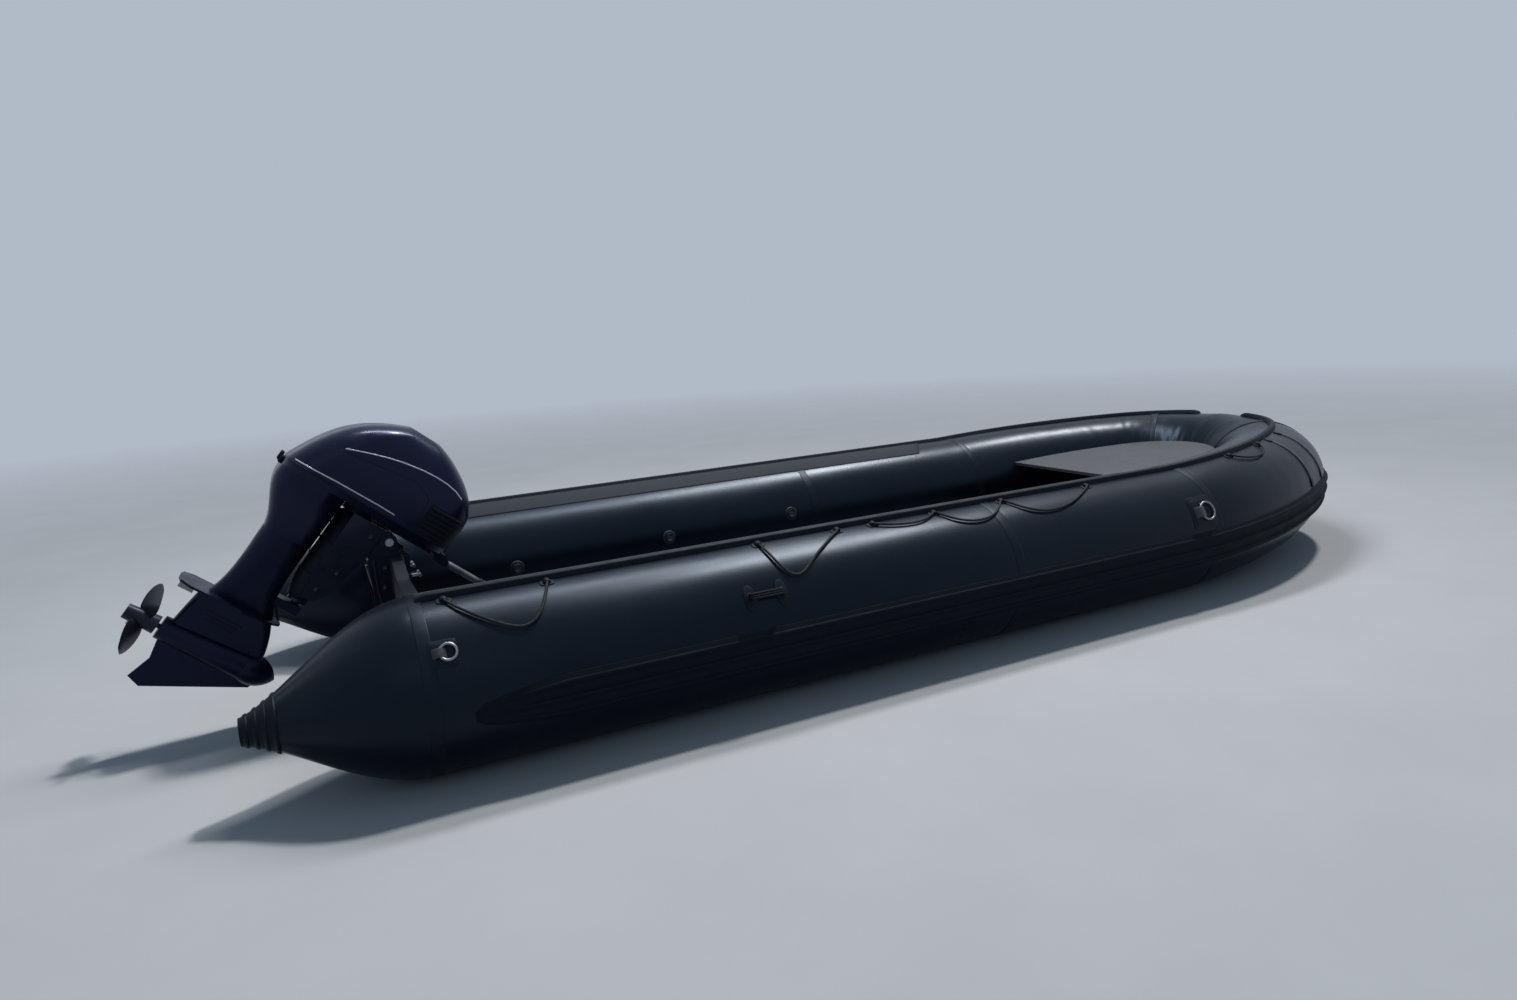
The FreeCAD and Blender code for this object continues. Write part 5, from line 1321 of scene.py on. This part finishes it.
ROPE_DIAMETER = 0.010
ROPE_STANDOFF = 0.004
LIFELINES = {
    "1": [
        (0.092, 73.5), (0.112, 66.5), (0.147, 59), (0.190, 52), (0.232, 46.5), (0.272, 42.2),
        (0.312, 40.2), (0.350, 42.5), (0.380, 48.5), (0.403, 57), (0.422, 66), (0.436, 73.5),
    ],
    "2": [
        (1.250, 73.5), (1.254, 66), (1.262, 58.5), (1.272, 51.5), (1.285, 45.5), (1.305, 40.8), (1.332, 38.8),
        (1.364, 41), (1.404, 46.8), (1.450, 53.5), (1.500, 60), (1.550, 67), (1.600, 73.5),
    ],
    "3": [(1.768, 73.5), (1.815, 69.8), (1.870, 67), (1.925, 65.8), (1.978, 66.2), (2.024, 69), (2.062, 73.5)],
    "4": [
        (2.082, 73.5), (2.107, 66), (2.146, 60), (2.198, 56.5),
        (2.258, 55.5), (2.318, 58), (2.374, 64.5), (2.420, 73.5),
    ],
    "5": [
        (2.440, 73.5), (2.468, 65.5), (2.508, 58.5), (2.560, 54), (2.620, 52.5),
        (2.685, 53.5), (2.750, 56.5), (2.815, 61.5), (2.875, 67.5), (2.925, 73.5),
    ],
    "6": [
        (3.922, 73.5), (3.950, 67.5), (3.995, 63), (4.050, 60.5),
        (4.110, 60.3), (4.165, 62.5), (4.210, 67), (4.244, 73.5),
    ],
}


def make_lifelines():
    reach = ROPE_DIAMETER / 2 + ROPE_STANDOFF
    for word, side in (("port", 1), ("starboard", -1)):
        for number, table in LIFELINES.items():
            points = [tube_point(station, degrees, reach) for station, degrees in table]
            if side < 0:
                points = [Vector((p.x, -p.y, p.z)) for p in points]
            curve = bpy.data.curves.new("rope_%s_%s" % (word, number), "CURVE")
            curve.dimensions = "3D"
            spline = curve.splines.new("NURBS")
            spline.points.add(len(points) - 1)
            for target, point in zip(spline.points, points):
                target.co = (*point, 1.0)
            spline.order_u = 3
            spline.use_endpoint_u = True
            spline.resolution_u = 8
            curve.bevel_depth = ROPE_DIAMETER / 2
            curve.bevel_resolution = 4
            curve.use_fill_caps = True
            piece = bpy.data.objects.new("rope_%s_%s" % (word, number), curve)
            bpy.context.scene.collection.objects.link(piece)
            curve.materials.append(MATERIALS["rope"])
            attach(piece, "hull")
            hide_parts("lifeline_%s_%s" % (word, number))
            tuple(points[0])


# Stage, light and camera

KEY_FROM = Vector((0.46, 0.19, 0.87))
KEY_STRENGTH = 1.8
KEY_SOFTNESS = 5.0
FLOOR_FADE_FROM, FLOOR_FADE_TO = 6.0, 17.0


def make_stage():
    """A pale floor that fades into the backdrop's colour well behind the boat."""
    shader = Shader("stage_floor")
    tone = shader.noise(1.3, 5.0, 0.6)
    shader.color(shader.ramp(tone, [(0.3, (0.44, 0.445, 0.455)), (0.7, (0.47, 0.475, 0.485))]))
    shader.set(Roughness=0.85, Specular_IOR_Level=0.2)
    distance = shader.nodes.new("ShaderNodeVectorMath")
    distance.operation = "LENGTH"
    shader.link(shader.coords, distance.inputs[0])
    fade = shader.ranged(distance.outputs["Value"], 0.0, 1.0, FLOOR_FADE_FROM, FLOOR_FADE_TO)
    clear = shader.nodes.new("ShaderNodeBsdfTransparent")
    blend = shader.nodes.new("ShaderNodeMixShader")
    shader.link(fade, blend.inputs[0])
    shader.link(shader.bsdf.outputs[0], blend.inputs[1])
    shader.link(clear.outputs[0], blend.inputs[2])
    shader.link(blend.outputs[0], shader.nodes["Material Output"].inputs["Surface"])
    low = CAD_BOUNDS[0].z
    reach = 30.0
    verts = [Vector((x, y, low)) for x, y in ((-reach, -reach), (reach, -reach), (reach, reach), (-reach, reach))]
    floor = make_object("stage_floor", verts, [(0, 1, 2, 3)], smooth=False)
    floor.data.materials.append(shader.material)


def make_world():
    world = bpy.data.worlds.new("studio")
    bpy.context.scene.world = world
    world.use_nodes = True
    nodes, links = world.node_tree.nodes, world.node_tree.links
    background = nodes["Background"]
    background.inputs["Color"].default_value = (0.52, 0.74, 1.0, 1.0)
    background.inputs["Strength"].default_value = 0.28
    seen = nodes.new("ShaderNodeBackground")
    seen.inputs["Color"].default_value = (0.44, 0.49, 0.57, 1.0)
    seen.inputs["Strength"].default_value = 1.0
    path = nodes.new("ShaderNodeLightPath")
    mix = nodes.new("ShaderNodeMixShader")
    seen_by = path.outputs["Is Camera Ray"]
    for kind in ("Is Glossy Ray", "Is Transmission Ray"):
        either = nodes.new("ShaderNodeMath")
        either.operation = "MAXIMUM"
        links.new(seen_by, either.inputs[0])
        links.new(path.outputs[kind], either.inputs[1])
        seen_by = either.outputs[0]
    links.new(seen_by, mix.inputs[0])
    links.new(background.outputs[0], mix.inputs[1])
    links.new(seen.outputs[0], mix.inputs[2])
    links.new(mix.outputs[0], nodes["World Output"].inputs["Surface"])


def area_light(name, place, target, size, power, color):
    data = bpy.data.lights.new(name, "AREA")
    data.shape = "RECTANGLE"
    data.size, data.size_y = size
    data.energy = power
    data.color = color
    light = bpy.data.objects.new(name, data)
    bpy.context.scene.collection.objects.link(light)
    light.location = place
    direction = Vector(target) - Vector(place)
    light.rotation_euler = direction.to_track_quat("-Z", "Y").to_euler()


def make_lights():
    """A soft sun from the bow and a little to port, as the photograph's shadows lie."""
    data = bpy.data.lights.new("key", "SUN")
    data.energy = KEY_STRENGTH
    data.angle = math.radians(KEY_SOFTNESS)
    data.color = (1.0, 0.975, 0.94)
    light = bpy.data.objects.new("key", data)
    bpy.context.scene.collection.objects.link(light)
    light.rotation_euler = (-KEY_FROM).to_track_quat("-Z", "Y").to_euler()
    area_light("overhead", (0.3, 1.05, 5.3), (0.3, -0.1, 0.3), (4.4, 0.6), 190.0, (0.94, 0.97, 1.0))
    area_light("fill", (-3.0, -6.0, 4.0), (0.0, 0.0, 0.3), (5.0, 3.0), 10.0, (0.92, 0.96, 1.0))


def make_camera():
    tilt = math.atan((CAMERA_AXIS_Y - HORIZON_Y) / CAMERA_FOCAL_PIXELS)
    ahead = Vector((math.cos(CAMERA_YAW) * math.cos(tilt), math.sin(CAMERA_YAW) * math.cos(tilt), -math.sin(tilt)))
    right = Vector((math.sin(CAMERA_YAW), -math.cos(CAMERA_YAW), 0))
    up = right.cross(ahead)
    turned_right = right * math.cos(CAMERA_ROLL) + up * math.sin(CAMERA_ROLL)
    turned_up = up * math.cos(CAMERA_ROLL) - right * math.sin(CAMERA_ROLL)
    data = bpy.data.cameras.new("camera")
    data.sensor_width = SENSOR_WIDTH
    data.lens = CAMERA_FOCAL_PIXELS / IMAGE_WIDTH * SENSOR_WIDTH
    data.shift_x = (IMAGE_WIDTH / 2 - CAMERA_AXIS_X) / IMAGE_WIDTH
    data.shift_y = (CAMERA_AXIS_Y - IMAGE_HEIGHT / 2) / IMAGE_WIDTH
    data.clip_end = 500.0
    camera = bpy.data.objects.new("camera", data)
    bpy.context.scene.collection.objects.link(camera)
    matrix = Matrix((turned_right, turned_up, -ahead)).transposed().to_4x4()
    matrix.translation = CAMERA_FROM_STERN + Vector((STERN_X, 0, 0))
    camera.matrix_world = matrix
    bpy.context.scene.camera = camera


make_camera()
make_lifelines()
dress_cad_nodes()
ease_edges()
make_tubes()
make_tapes()
make_bottom()
make_keel()
make_grip_strips()
make_rails()
make_strakes()
make_holders()
make_ring_patches()
make_handles()
make_valves()
make_tow_patch()
make_bow_straps()
make_cone_caps()
make_cowl_details()
make_motor_fittings()
make_shade_shroud()
make_pan_ribs()
make_bracket_fittings()
make_tiller()
make_stage()
make_world()
make_lights()
bpy.context.scene.view_settings.view_transform = "Standard"


def write_sizes():
    import json


write_sizes()
